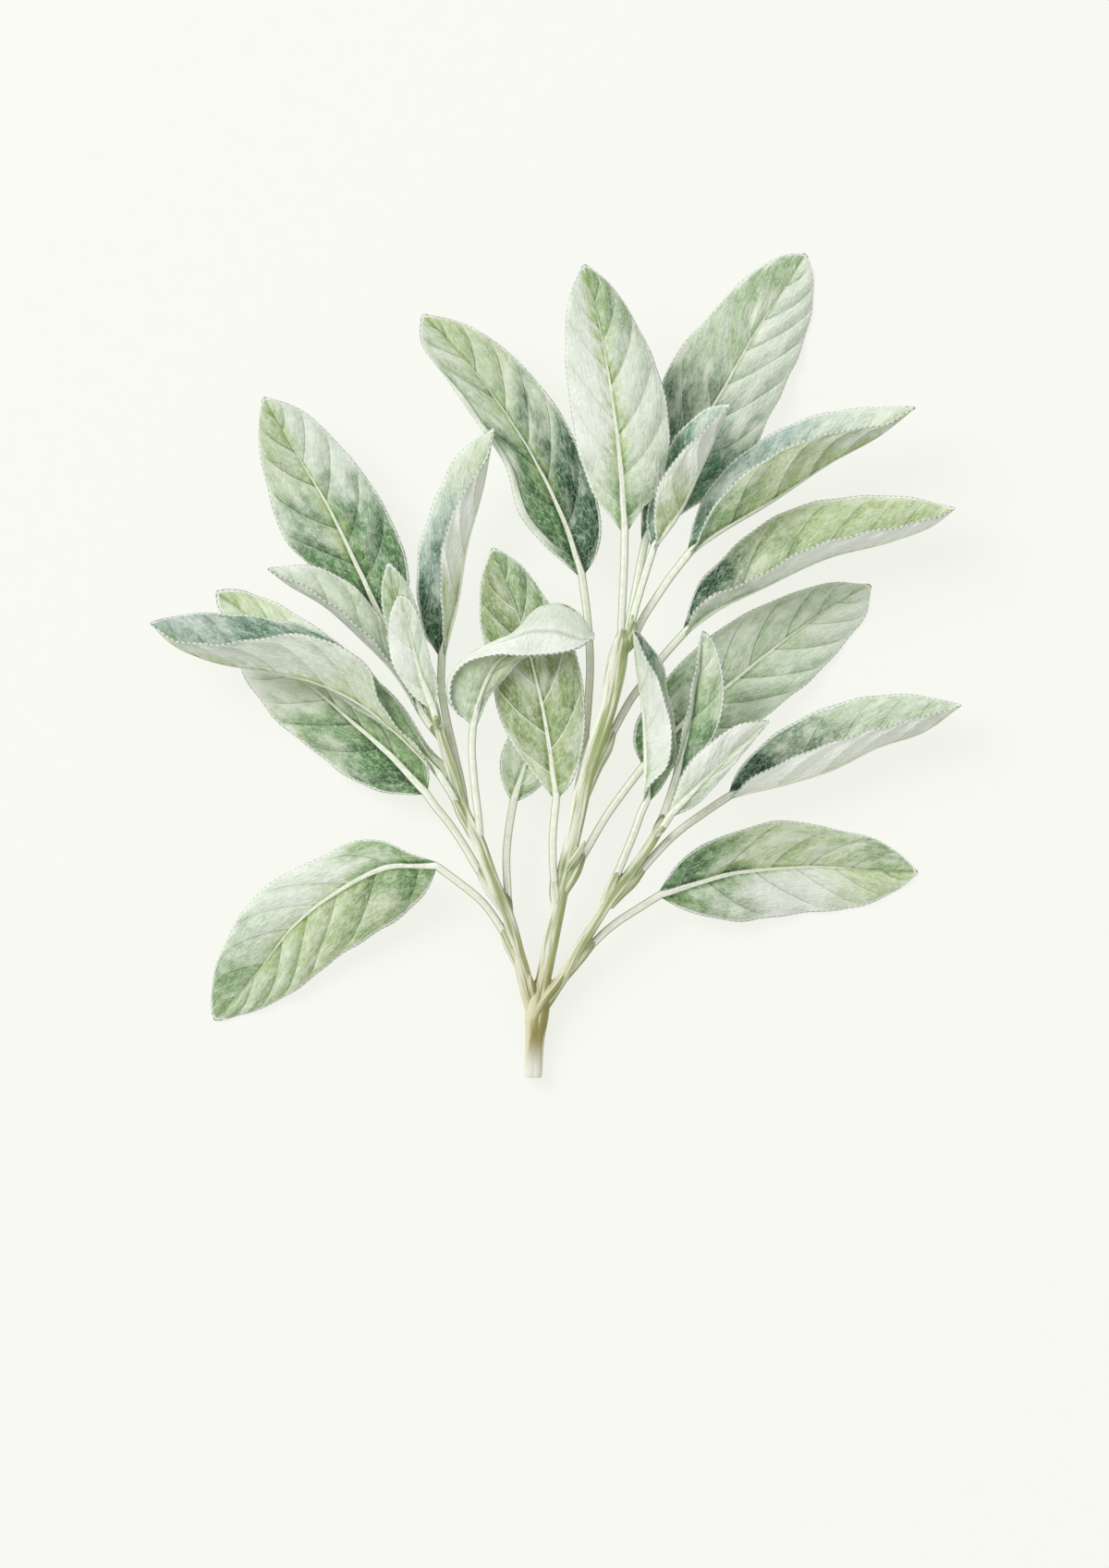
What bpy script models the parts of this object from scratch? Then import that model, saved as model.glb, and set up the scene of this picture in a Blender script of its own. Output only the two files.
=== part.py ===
"""A cut sprig of garden sage, lying down: a forked stem and twenty-four stalked leaves.

Run it with: blender --background --python part.py
Route points are in millimetres: x across the sprig, y from its cut end to its leaf tips,
z up from the surface that it lies on.
"""

import bmesh
import bpy
import numpy as np

MM = 0.001
SPRIG_CENTRE = (0.3, 89.55, 0.0)  # middle of the sprig's footprint, which becomes the origin
CLEARANCE = 0.3  # gap left between a leaf stalk and the stem that it grows from

STALK_WIDTH = 1.7
STALK_THICKNESS = 1.5
STALK_EDGE_SHARE = 0.6  # thickness of a stalk's edges, as a share of its middle's
BLADE_THICKNESS = 0.75
TIP_RIB_THICKNESS = 0.9
TIP_HALF_WIDTH = 0.35
CURLED_TIP_SHARE = 0.6  # a curled blade's last row, as a share of the one before it
BASE_FADE, TIP_FADE = 4, 8  # powers by which the widened base and tip fade along a blade
EDGE_THINS_BY = 6.0  # a blade's sides reach its own thickness this much sooner than its rib
TOOTH_DEPTH = 0.2  # how far the scalloped edge steps in and out
TOOTHED_FROM, TOOTHED_TO = 0.12, 0.97  # shares of the blade's length between which it is scalloped
PILLOW = 0.07  # rise of each half of a blade, as a share of its width
FOLD_ROOM = 1.3  # a folded blade opens at least this far, seen at the end of its shorter half
NARROWEST_HALF = 0.3  # halves narrower than this are not swung apart
LOWEST_BLADE = 0.3  # a drooping blade lies on the surface at this height of its middle
SURFACE_BLOCK = (0.3, 0.3, 0.02)  # metres

LARGE_ROWS = 24
SMALL_ROWS = 15
STALK_ROW_SPACING = 5.0
STEM_RING_SPACING = 3.5

SAGE = (0.36, 0.47, 0.29)
DEEP = (0.20, 0.33, 0.24)
PALE = (0.58, 0.66, 0.53)
STEM_GREEN = (0.50, 0.52, 0.30)

# Stem routes: x, y, z and radius at each point, from the root end up.
STEM_ROUTES = [
    # trunk and middle shoot
    [(-4.7, 0.4, 2.0, 2.2), (-4.2, 9.2, 2.3, 2.3), (-3.8, 14.0, 3.0, 2.8), (-3.3, 17.6, 3.6, 2.6),
     (-2.7, 20.4, 4.2, 1.9), (-1.9, 24.1, 4.8, 1.8), (-0.9, 29.1, 5.7, 1.8), (0.9, 38.6, 7.4, 1.9),
     (4.2, 53.6, 10.7, 1.9), (7.3, 67.6, 13.0, 2.1), (11.4, 79.6, 15.0, 2.0), (13.7, 91.0, 17.2, 2.3),
     (14.6, 95.6, 18.2, 1.6)],
    # side shoot below the crown
    [(13.8, 90.6, 17.0, 1.2), (15.6, 94.2, 17.6, 1.3), (16.8, 96.8, 18.2, 1.1)],
    # left shoot
    [(-4.6, 15.0, 3.0, 1.9), (-6.0, 19.8, 4.4, 1.8), (-7.0, 24.0, 5.6, 1.7), (-7.8, 27.2, 6.5, 1.5),
     (-8.6, 30.6, 7.5, 1.4), (-9.7, 34.1, 8.6, 1.5), (-11.2, 37.9, 9.7, 1.6), (-13.0, 42.1, 10.9, 1.5),
     (-14.6, 46.2, 11.6, 1.6), (-16.2, 50.8, 12.4, 1.6), (-17.6, 54.0, 13.0, 1.5),
     (-19.2, 57.4, 13.6, 1.3), (-20.6, 61.2, 14.1, 1.4), (-22.2, 67.1, 15.0, 1.5),
     (-23.0, 69.6, 15.4, 1.4), (-24.3, 73.6, 16.0, 1.2), (-25.4, 77.4, 16.4, 1.1)],
    # right shoot
    [(-2.6, 15.8, 3.4, 1.7), (0.4, 20.1, 4.4, 1.5), (2.4, 23.1, 5.2, 1.4), (5.0, 27.9, 6.6, 1.3),
     (6.8, 30.6, 7.3, 1.3), (8.9, 34.1, 8.3, 1.3), (11.2, 37.9, 9.3, 1.4), (13.6, 41.2, 10.3, 1.4),
     (16.2, 44.4, 11.1, 1.3), (18.7, 47.9, 12.0, 1.2), (21.0, 51.4, 12.7, 1.2), (23.0, 54.6, 13.2, 1.1)],
    # buds in the forks
    [(-4.2, 17.6, 4.5, 0.9), (-5.0, 20.5, 6.2, 0.8), (-5.3, 22.6, 7.2, 0.3)],
    [(2.6, 45.0, 9.6, 0.9), (5.2, 49.0, 12.0, 0.8), (6.6, 51.6, 13.0, 0.3)],
    # the ridge in front of the lowest fork
    [(-4.4, 13.0, 5.0, 0.6), (-2.4, 16.8, 5.8, 0.9), (0.2, 20.2, 5.5, 1.0), (2.2, 23.0, 5.7, 0.8)],
    # feet of leaf stalks that run on down the shoots: on the left one, from the lowest up
    [(-7.6, 24.4, 5.8, 1.1), (-8.7, 27.2, 6.4, 1.4), (-10.1, 30.0, 7.1, 1.3), (-11.2, 32.2, 7.7, 1.1)],
    [(-11.2, 37.0, 9.4, 1.1), (-13.0, 39.6, 9.8, 1.2), (-14.7, 42.3, 10.1, 1.2),
     (-16.2, 45.0, 10.2, 1.1)],
    [(-17.6, 52.4, 12.6, 1.0), (-19.1, 55.6, 13.4, 1.2), (-20.5, 58.4, 14.4, 1.2),
     (-21.5, 60.4, 15.2, 1.1)],
    # on the middle one
    [(0.7, 36.6, 7.4, 1.1), (0.2, 40.4, 8.5, 1.4), (-0.2, 43.8, 9.6, 1.1)],
    [(1.8, 40.4, 8.2, 1.2), (4.4, 45.2, 9.2, 1.5), (6.4, 48.8, 9.4, 1.1)],
    [(6.6, 61.6, 12.0, 1.2), (8.8, 67.6, 12.8, 1.6), (11.2, 72.2, 12.9, 1.6), (12.8, 75.4, 12.7, 1.1)],
    # and on the right one
    [(2.2, 22.2, 5.0, 1.1), (4.3, 24.8, 5.6, 1.2), (6.2, 27.1, 6.0, 1.2), (8.2, 29.2, 6.3, 1.1)],
    [(10.8, 37.8, 9.4, 1.1), (12.4, 41.6, 10.6, 1.2), (13.8, 45.0, 11.9, 1.1)],
    [(11.8, 37.6, 9.2, 1.1), (14.3, 40.4, 9.9, 1.3), (16.8, 42.8, 10.4, 1.3), (19.2, 45.4, 10.9, 1.1)],
]

# Leaves. A stalk runs from inside the stem to the blade, a rib from the blade's base to its tip,
# and left and right are the blade's edges between those two, as seen by someone facing the tip.
# A fold is the crease where the left half turns back over the blade.
LEAVES = {
    "leaf_low_left": dict(
        stalk=[(-9.9, 29.6, 7), (-11.4, 32.4, 7.8), (-13, 35, 8.4), (-15.2, 37.9, 9), (-17.4, 40, 9.6),
               (-20.6, 42.5, 10)],
        rib=[(-25.6, 46.2, 10.5), (-36, 46, 9.5), (-46, 41.2, 7.5), (-56, 33.6, 4.5), (-64, 23.5, 1.5),
             (-73.6, 12.8, 0.3)],
        left=[(-27, 42.6, 9.5), (-32, 36.6, 7), (-40, 31, 5.5), (-47.6, 26, 4), (-55, 20, 2.5),
              (-64, 15.2, 0.8), (-70, 13.4, 0.3)],
        right=[(-32, 48.6, 10.5), (-37, 51.2, 9.5), (-44, 51, 8), (-51, 47.6, 6.5), (-59, 44, 5),
               (-66.4, 37.6, 3.5), (-70.6, 30.6, 2), (-73.4, 23.6, 0.8), (-74.2, 17.6, 0.3)],
        colour=SAGE),
    "leaf_left_lower": dict(
        stalk=[(-14.9, 42.6, 10.1), (-17, 46.2, 10.2), (-20.1, 51.4, 10), (-23.1, 55.8, 10),
               (-25.9, 59.2, 9.9)],
        rib=[(-28, 62.2, 9.5), (-36, 70.6, 7.5), (-44, 77.6, 5.3), (-53, 85.2, 3.2), (-68.4, 92.2, 0.8)],
        left=[(-31, 62, 7.8), (-40, 63.4, 4.6), (-47, 67.2, 2.8), (-53, 72, 1.8), (-59, 76.6, 1.2),
              (-64.4, 83.2, 0.8), (-67.6, 88.6, 0.6)],
        right=[(-27.6, 65.6, 9), (-29, 70, 8), (-32, 73, 6.8), (-40, 80, 4.8), (-50, 87.2, 2.8),
               (-60, 91.6, 1.6)],
        colour=DEEP),
    "leaf_left_folded": dict(
        stalk=[(-20.5, 58.4, 14.4), (-22.5, 62.1, 16)],
        rib=[(-24.8, 65.8, 16.6), (-32.2, 73.4, 15.7), (-41, 80.6, 15), (-51, 85.6, 14.5),
             (-62, 88.2, 14.5),
             (-75.2, 90.8, 15), (-83, 94.4, 16), (-87.4, 98.8, 17)],
        left=[(-28, 70.6, 17.8), (-37, 80.6, 19), (-41, 90.2, 20.5), (-47, 94, 21), (-55, 96.4, 21),
              (-65, 95.2, 20.5), (-76, 94.2, 19.5), (-84, 96, 18)],
        right=[(-29, 72.2, 15), (-35.7, 83, 12.8), (-44.6, 92.3, 11.5), (-49.4, 95.8, 11),
               (-56.2, 98.5, 11),
               (-68, 100.5, 12), (-80, 100.5, 14.5)],
        colour=PALE),
    "leaf_left_behind": dict(
        stalk=[(-21.4, 62.8, 13.9), (-23.2, 66, 12.4)],
        rib=[(-24.4, 68, 11.7), (-32, 75.6, 10.8), (-42, 82.6, 9), (-56, 92.6, 5.8), (-65, 99.2, 2),
             (-69.5, 102.6, 0.3), (-73.2, 105.6, 0.3)],
        left=[(-30, 72.6, 10), (-41, 79.2, 8.6), (-55, 88.6, 6.2), (-67, 97, 2.4), (-71, 99.8, 0.4),
              (-72.8, 102.6, 0.3)],
        right=[(-27.6, 71.4, 12), (-29.5, 74.6, 12), (-31.2, 77.8, 11.8), (-34.3, 82.2, 11.3),
               (-38.4, 86.2, 10.5), (-46.4, 94, 7.4), (-54.8, 99.8, 4), (-61.4, 103.5, 1.1),
               (-65.3, 105, 0.3), (-70, 106, 0.3)],
        colour=SAGE),
    "leaf_left_narrow": dict(
        stalk=[(-24.6, 74, 15.8), (-26.6, 76.2, 14.8)],
        rib=[(-28.8, 79.4, 14.6), (-35, 88.6, 14.5), (-42, 95.6, 14), (-50, 102.6, 14),
             (-58.4, 107.6, 15),
             (-62, 110.5, 16)],
        left=[(-30.5, 83.2, 16), (-35, 90, 17), (-40.4, 96.2, 18), (-46.5, 101.5, 18.5),
              (-54.8, 107, 17.5)],
        right=[(-29, 82, 14), (-32, 86.6, 12.8), (-36, 94.2, 12), (-38.4, 100.6, 12), (-44, 107, 12.5),
               (-52, 111, 14)],
        colour=PALE),
    "leaf_left_broad": dict(
        stalk=[(-23.2, 70.6, 14.3), (-25.6, 76.6, 12.5), (-29, 84.6, 11), (-33, 92.6, 10)],
        rib=[(-36.8, 98.2, 9.5), (-43, 111.6, 9), (-49, 124, 9.5), (-56, 135.6, 10.5), (-63, 147.6, 13)],
        left=[(-41, 101.6, 9), (-48, 107.6, 8), (-53, 111.4, 8), (-58, 116.6, 8.5), (-62, 127.6, 10),
              (-64, 139.6, 12)],
        right=[(-33.6, 100.6, 9.5), (-32, 105.6, 9.5), (-32, 110.6, 9.5), (-35, 120, 10),
               (-40.2, 129.4, 10.5), (-46.5, 137.2, 11.5), (-56.3, 145.6, 13)],
        colour=SAGE),
    "small_leaf_left_back": dict(
        stalk=[(-25.3, 77.2, 16.4), (-25.9, 80.5, 16.4)],
        rib=[(-27.4, 84, 16.5), (-31, 91.2, 15.5), (-33.6, 101.6, 16), (-36, 112, 17.5)],
        left=[(-29.7, 87, 15.7), (-35, 94, 16), (-37, 100.6, 16), (-37.4, 106.6, 16.5)],
        right=[(-27.6, 87.6, 16), (-28.4, 94.6, 16), (-29.6, 101.2, 16.5), (-32.4, 108, 17)],
        rows=SMALL_ROWS, colour=SAGE),
    "small_leaf_left_front": dict(
        stalk=[(-25.2, 76.2, 16.4), (-25.5, 77.4, 18.6)],
        rib=[(-26.4, 80.6, 19.3), (-29, 87.6, 19.5), (-31, 95.6, 20.5), (-33.4, 105, 22)],
        left=[(-29.6, 82.6, 18.8), (-34.8, 89.6, 19.5), (-36, 97.6, 20.5), (-34.8, 102.6, 21.5)],
        right=[(-25.6, 84.6, 19), (-27, 90.6, 20), (-29.4, 100, 21.5), (-31.4, 103.6, 22)],
        rows=SMALL_ROWS, colour=PALE),
    "leaf_left_upright": dict(
        stalk=[(-19.2, 57.4, 13.2), (-20.1, 63.6, 12.2), (-21.7, 70.6, 11.8), (-23.5, 78.6, 12),
               (-24.5, 84.8, 12.3)],
        rib=[(-24.4, 91.6, 13), (-21.5, 101.6, 13.5), (-19, 115.6, 14), (-15.6, 127.6, 15),
             (-13.2, 140.8, 17)],
        left=[(-27.2, 95.6, 12), (-29.5, 106.6, 11.5), (-29.4, 112.8, 11.5), (-26, 125, 12.5),
              (-20, 136, 14.5)],
        right=[(-24.6, 95.6, 15), (-24.8, 103.6, 17), (-24, 116.6, 18), (-20.5, 125.6, 18),
               (-14.8, 134.6, 18)],
        colour=PALE),
    "leaf_crown_left": dict(
        stalk=[(6.2, 65.2, 12), (6.6, 73.6, 10.5), (7.3, 81.6, 10.5), (7.7, 89.6, 10.8),
               (7.1, 100, 11.3)],
        rib=[(5.9, 109.3, 11.8), (2.5, 119.6, 12), (-5, 135.2, 12.5), (-12.7, 147.1, 13),
             (-20.4, 157, 14), (-28.6, 165.6, 15)],
        left=[(0, 114.2, 12.3), (-7.4, 122.6, 13.3), (-10.4, 132.6, 14), (-17, 142.6, 14.5),
              (-23.2, 151.6, 15), (-29, 160.8, 15.5)],
        right=[(8.6, 113.6, 12.3), (9.6, 118.6, 12.5), (8.4, 127.6, 13), (5, 136.6, 13.5),
               (1, 144.6, 14), (-4, 151.2, 14.5), (-12, 159, 15), (-20, 163.6, 15.5)],
        colour=DEEP),
    "leaf_crown_centre": dict(
        stalk=[(14.3, 94.6, 18), (14.8, 105.6, 20), (15.1, 112.6, 21)],
        rib=[(15.2, 118.8, 21.4), (14.2, 133.6, 22), (12.4, 147.6, 23), (9.6, 163.6, 24),
             (6.4, 176.4, 25.5)],
        left=[(13.2, 121.4, 21.4), (10.3, 124.6, 21.1), (6, 133.6, 21.5), (3.6, 145.6, 22.5),
              (2.4, 157.6, 23.5), (3.4, 169.6, 25)],
        right=[(17.6, 122.4, 21.4), (21.9, 127, 21.1), (24.6, 136.6, 21.5), (24.3, 145.6, 22),
               (22.2, 153.6, 22.5), (17.6, 163.6, 23.5), (11.4, 172.6, 25)],
        colour=PALE),
    "leaf_crown_right": dict(
        stalk=[(14.6, 92.4, 16), (15.2, 95.2, 14.9), (15.9, 97.8, 14.2), (16.6, 101, 13.7),
               (17.4, 105, 13.2), (18.4, 110.6, 12.4)],
        rib=[(19.6, 116.4, 12), (21.6, 122.4, 11.8), (27, 133.6, 10.5), (36, 148.6, 7.5),
             (44, 162.6, 3.5), (50, 171.6, 0.8),
             (54.4, 178.6, 0.3)],
        left=[(19.4, 120.6, 12.1), (19.6, 126.6, 12), (20, 137.6, 11.5), (23, 149.8, 10),
              (26.5, 157, 8), (33.5, 165.1, 5),
              (41.7, 173.6, 1.5), (50, 178.2, 0.3)],
        right=[(21.6, 118.6, 11.7), (26.4, 122, 11), (32, 125.6, 10), (40, 130.6, 8), (45, 140.6, 5.5),
               (50, 150.6, 2.6),
               (54.4, 161.6, 0.6), (55.8, 173.6, 0.3)],
        colour=DEEP),
    "small_leaf_crown": dict(
        stalk=[(16.5, 96.6, 18.6), (16.9, 99.6, 19.5), (18.2, 104.6, 19.6), (19.7, 109.6, 19.4)],
        rib=[(21.4, 115, 19.6), (26.6, 122, 20), (31.4, 131.6, 20.5), (36, 141.6, 21.5), (38, 146, 22)],
        left=[(20.4, 119.6, 18.5), (20.6, 124.6, 17.5), (23.6, 133.6, 17), (27, 140, 17.5),
              (34, 145.4, 20)],
        right=[(21.2, 119.6, 20.8), (22.4, 128.6, 23.5), (27, 135.2, 24), (34, 142, 23.5)],
        rows=SMALL_ROWS, colour=SAGE),
    "leaf_right_top": dict(
        stalk=[(16.2, 93.8, 17.4), (17.9, 97.2, 17.1), (19.2, 99.8, 17.1), (21.8, 103.9, 17.1),
               (25, 108.6, 17)],
        rib=[(29.3, 114.1, 17), (36.2, 118.8, 16.8), (45.3, 124.1, 16.5), (60.4, 133.9, 16.5),
             (70.4, 139.4, 17.5),
             (78, 145.4, 19)],
        left=[(31, 121.8, 15), (34, 128.2, 14), (39.6, 134.3, 13.5), (46.7, 139.4, 13.5),
              (55.8, 143.4, 14),
              (68, 145.3, 16)],
        right=[(31, 118.6, 18.8), (37, 127.6, 20.5), (43, 132.6, 21), (52, 137.6, 21.5),
               (61, 140.2, 21.5), (72, 142, 20.5)],
        colour=PALE),
    "leaf_right_upper": dict(
        stalk=[(11.2, 72.2, 12.9), (13.4, 76.6, 12.6), (16.8, 82.6, 12), (19.6, 86.4, 12),
               (23.6, 91.6, 12.3)],
        rib=[(28.4, 97, 12.5), (36, 102.2, 12.3), (44, 106, 12), (60, 113.2, 12), (72, 116.2, 12.5),
             (83, 120.6, 13.5), (86.6, 123.6, 14)],
        left=[(31.4, 106.6, 11), (37, 113, 10), (43, 118.6, 9.5), (52, 123.6, 9.5), (64, 126, 10.5),
              (76, 126, 12)],
        right=[(29, 100.6, 14.5), (34, 105, 16), (40, 107.2, 16.5), (48, 111.2, 17), (54, 114.6, 17.5),
               (64, 117.6, 17.5), (80, 121, 16)],
        colour=SAGE),
    "leaf_right_middle": dict(
        stalk=[(4.4, 45.2, 9.2), (7.6, 50.8, 9.4), (11, 56.6, 9.6), (16, 63.6, 10)],
        rib=[(19.4, 68, 10), (28, 77.4, 8.5), (37, 84.8, 6.5), (54, 98.2, 1.5), (62, 103.6, 0.3),
             (68.4, 107, 0.3)],
        left=[(17.6, 72, 10.5), (18, 76.6, 10.5), (21, 82.2, 10), (24.4, 86.6, 9.5), (33, 95.2, 6.5),
              (40, 100, 4.5), (49, 104.2, 2), (60, 107.4, 0.4)],
        right=[(23, 67.6, 9.5), (32, 70.6, 7.5), (40, 74.2, 5.5), (48, 80.6, 4), (56, 87, 2),
               (62, 93.6, 0.5), (67.6, 101.6, 0.3)],
        colour=SAGE),
    "leaf_right_narrow": dict(
        stalk=[(16.8, 42.8, 10.4), (22, 48.9, 11.2), (25, 52, 11.1), (28.2, 54.7, 11), (32, 57.4, 11),
               (34.6, 59.2, 11)],
        rib=[(38, 61.4, 11), (50, 64.1, 10), (60, 67.1, 9.5), (70, 71.9, 9.3), (80, 75.3, 9.8),
             (88, 81, 11)],
        left=[(39, 64.6, 10.2), (41, 67.6, 9.5), (46, 73, 8.5), (54, 78.2, 8), (65, 82.2, 8),
              (77, 83.2, 9)],
        right=[(40, 63.8, 12.5), (50, 69.2, 13.5), (64, 74.2, 13.5), (80, 78.6, 12.5)],
        colour=PALE),
    "leaf_right_lowest": dict(
        stalk=[(6.4, 27.4, 6), (8.3, 29.3, 6.3), (10.5, 31.5, 6.6), (13.6, 34, 6.8), (18.2, 37, 7)],
        rib=[(23, 40, 7), (40, 44.8, 4.5), (48, 45.6, 3), (56, 46, 1.3), (72, 45, 0.3),
             (78.6, 44.8, 0.3)],
        left=[(26, 45, 7.3), (30.2, 49.2, 7), (40, 53.6, 5), (48, 55.8, 3.5), (60, 54.2, 1),
              (72, 50.6, 0.3)],
        right=[(27, 37.6, 6), (33, 35.6, 5), (40, 34.4, 3.5), (47, 35.2, 2), (55, 36.2, 0.7),
               (65, 37.2, 0.3), (74, 41, 0.3)],
        colour=SAGE),
    "small_leaf_right_folded": dict(
        stalk=[(12.6, 42.2, 10.8), (15.5, 49.1, 13.4), (17.5, 54.1, 15), (18.8, 57.8, 15.7)],
        rib=[(20, 60.4, 16), (19.8, 67.6, 16.5), (19.2, 79.6, 17), (17.6, 90.6, 19.5), (17, 97.6, 22.5)],
        left=[(20.6, 62.6, 18.2), (24.6, 67.6, 19.2), (25.6, 73.6, 19.5), (24.2, 81.2, 20),
              (22.4, 86.6, 21), (20, 91.2, 22)],
        right=[(23, 63.6, 15), (26, 70.6, 14.5), (25.8, 77.6, 14.5), (24.4, 84.6, 15.5), (23, 90.6, 17.5),
               (20, 94.6, 20)],
        rows=SMALL_ROWS, colour=PALE),
    "small_leaf_right_cupped": dict(
        stalk=[(22.2, 54, 12.8), (23.8, 57.8, 12.8)],
        rib=[(26.4, 65.6, 15.5), (28.6, 73.6, 16), (30.4, 83.6, 17), (32.2, 97, 20)],
        left=[(27, 69.6, 16.5), (27.6, 73.6, 17.5), (29.6, 83.6, 19), (31.2, 92.6, 20)],
        right=[(29, 68.6, 17), (34, 73.6, 18), (36.4, 80.6, 18.5), (35.8, 90.6, 19.5), (34, 95, 20)],
        rows=SMALL_ROWS, colour=SAGE),
    "small_leaf_right_pale": dict(
        stalk=[(21.8, 53, 13.5), (23, 54, 16)],
        rib=[(25.4, 57.6, 17), (29, 61.2, 17.5), (35, 67.2, 18.5), (40, 72, 19), (46.4, 77.6, 20)],
        left=[(26.4, 61.2, 17.2), (29, 68, 19), (34, 73, 20), (40, 76.8, 20.5)],
        right=[(29.6, 59.2, 17), (35.4, 64.4, 18.3), (41, 70.8, 19.3)],
        rows=SMALL_ROWS, colour=PALE),
    "leaf_centre": dict(
        stalk=[(0.2, 40.4, 8.5), (-0.3, 46, 10.6), (-0.4, 51.6, 11.8)],
        rib=[(0.4, 61.2, 13), (-2, 77.6, 14), (-5, 90.6, 14.5), (-9, 103.6, 15), (-13.4, 115, 16)],
        left=[(-6, 68.6, 13), (-11, 76.6, 13.3), (-13, 83.6, 13.6), (-15.2, 94.2, 14),
              (-16.2, 102.6, 14.5), (-15.6, 108.6, 15.2)],
        right=[(2.4, 63.2, 14), (5.2, 69.6, 15.6), (6.4, 81.6, 15.5), (4.4, 92.6, 15.3),
               (-1.6, 103.6, 15.5), (-9, 112.6, 16)],
        colour=SAGE),
    "leaf_curled": dict(
        stalk=[(-16, 50.4, 12.3), (-16.4, 55.8, 14.4), (-17.5, 65.6, 15.8), (-17.9, 72.6, 16.5)],
        rib=[(-17.6, 76.8, 17), (-16.9, 79.6, 17.2), (-15.9, 83, 17.6), (-14.4, 87, 18),
             (-12, 90.6, 18.1),
             (-7, 93, 18), (0, 94.4, 18.3), (8, 95.4, 20.3)],
        fold=[(-18.7, 78.5, 17.3), (-20.8, 79.6, 17.4), (-22.7, 81.5, 17.6), (-23.4, 84.3, 17.8),
              (-22.8, 87.3, 18.4),
              (-20.7, 90.3, 19), (-18, 92.7, 19.5), (-15, 94.2, 20), (-9.3, 96.8, 20.5), (-7, 99.5, 20.5),
              (-4.7, 102, 20.5), (-1.3, 103.5, 20.5), (1.7, 103.9, 20.5), (4, 102.8, 20.6),
              (6.2, 100.3, 20.8),
              (7.4, 97.5, 21)],
        left=[(-18.9, 78.8, 18.2), (-20.6, 80.5, 18.9), (-21.9, 82.3, 19.2), (-22.3, 84.5, 19.7),
              (-21.8, 86.5, 20.2),
              (-20.3, 88.6, 20.8), (-18, 90.5, 21.4), (-15, 91.4, 21.8), (-12, 91.8, 22.2),
              (-7.3, 91.6, 22.6),
              (-2.7, 91.8, 22.8), (1.7, 92.3, 23), (5.7, 93.5, 22.8), (7.6, 94.8, 22.2)],
        right=[(-16.4, 79.2, 17), (-15.5, 81.2, 17), (-14.6, 82.8, 17), (-13.3, 84.3, 17),
               (-11, 86.6, 17.1),
               (-7.8, 90.4, 17.4), (-4, 92, 17.7), (2, 93, 18), (6, 94, 18.6)],
        colour=PALE),
    "small_leaf_centre": dict(
        stalk=[(-9.9, 36.4, 9), (-10.2, 41.6, 8.8), (-10.4, 48.6, 8.5), (-9.8, 54.6, 8.5)],
        rib=[(-8.8, 60.4, 8.5), (-7.4, 65, 8.8), (-5.6, 70.6, 9), (-3.6, 77.2, 9.5)],
        left=[(-9.8, 62, 8.5), (-11.6, 66.6, 8.8), (-10.4, 73, 9.2), (-7.6, 76.6, 9.5)],
        right=[(-6.4, 61.4, 8.5), (-2.8, 64, 8.5), (-1.6, 69.6, 9), (-2, 74.6, 9.3)],
        rows=SMALL_ROWS, colour=SAGE),
}


def smooth_line(points, shares):
    """Places at the given shares of a smooth curve's length through the points."""
    knots = np.array(points, dtype=float)
    if len(knots) == 2:
        return knots[0] + np.outer(shares, knots[1] - knots[0])
    lengths = np.linalg.norm(np.diff(knots[:, :3], axis=0), axis=1)
    at = np.concatenate([[0.0], np.cumsum(lengths)])
    slopes = np.gradient(knots, at, axis=0)

    def place(distance):
        i = min(np.searchsorted(at, distance, side="right") - 1, len(at) - 2)
        span = at[i + 1] - at[i]
        t = (distance - at[i]) / span
        return ((2 * t**3 - 3 * t**2 + 1) * knots[i] + (t**3 - 2 * t**2 + t) * span * slopes[i]
                + (3 * t**2 - 2 * t**3) * knots[i + 1] + (t**3 - t**2) * span * slopes[i + 1])

    return np.array([place(share * at[-1]) for share in shares])


def to_world(place):
    """A place in millimetres on the sprig's plan, as a place in metres around its centre."""
    return [(place[i] - SPRIG_CENTRE[i]) * MM for i in range(3)]


def flat_sides(line):
    """Level directions across a line, to the left of someone who walks along it."""
    along = np.gradient(line, axis=0)
    sides = np.stack([-along[:, 1], along[:, 0], np.zeros(len(line))], axis=1)
    return sides / np.linalg.norm(sides, axis=1, keepdims=True)


def turned(arms, axes, angles):
    """Arms turned around axes of length one by angles in radians, row by row."""
    cosine, sine = np.cos(angles)[:, None], np.sin(angles)[:, None]
    along = np.sum(arms * axes, axis=1, keepdims=True)
    return arms * cosine + np.cross(axes, arms) * sine + axes * along * (1.0 - cosine)


def open_fold(crease, upper, lower, upper_share):
    """Swings two sides of a crease apart where they would touch, the upper one by its share."""
    axes = np.gradient(crease, axis=0)
    axes /= np.linalg.norm(axes, axis=1, keepdims=True)
    above, below = upper - crease, lower - crease
    sizes = [np.maximum(np.linalg.norm(arm, axis=1), NARROWEST_HALF) for arm in (above, below)]
    cosine = np.sum(above * below, axis=1) / (sizes[0] * sizes[1])
    angle = np.arccos(np.clip(cosine, -1.0, 1.0))
    lack = np.maximum(2.0 * np.arctan(FOLD_ROOM / np.minimum(*sizes)) - angle, 0.0)
    lack[np.minimum(*sizes) <= NARROWEST_HALF] = 0.0
    turn = np.sign(np.sum(np.cross(below, above) * axes, axis=1))
    turn[turn == 0.0] = 1.0
    return (crease + turned(above, axes, turn * lack * upper_share),
            crease + turned(below, axes, -turn * lack * (1.0 - upper_share)))


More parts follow.
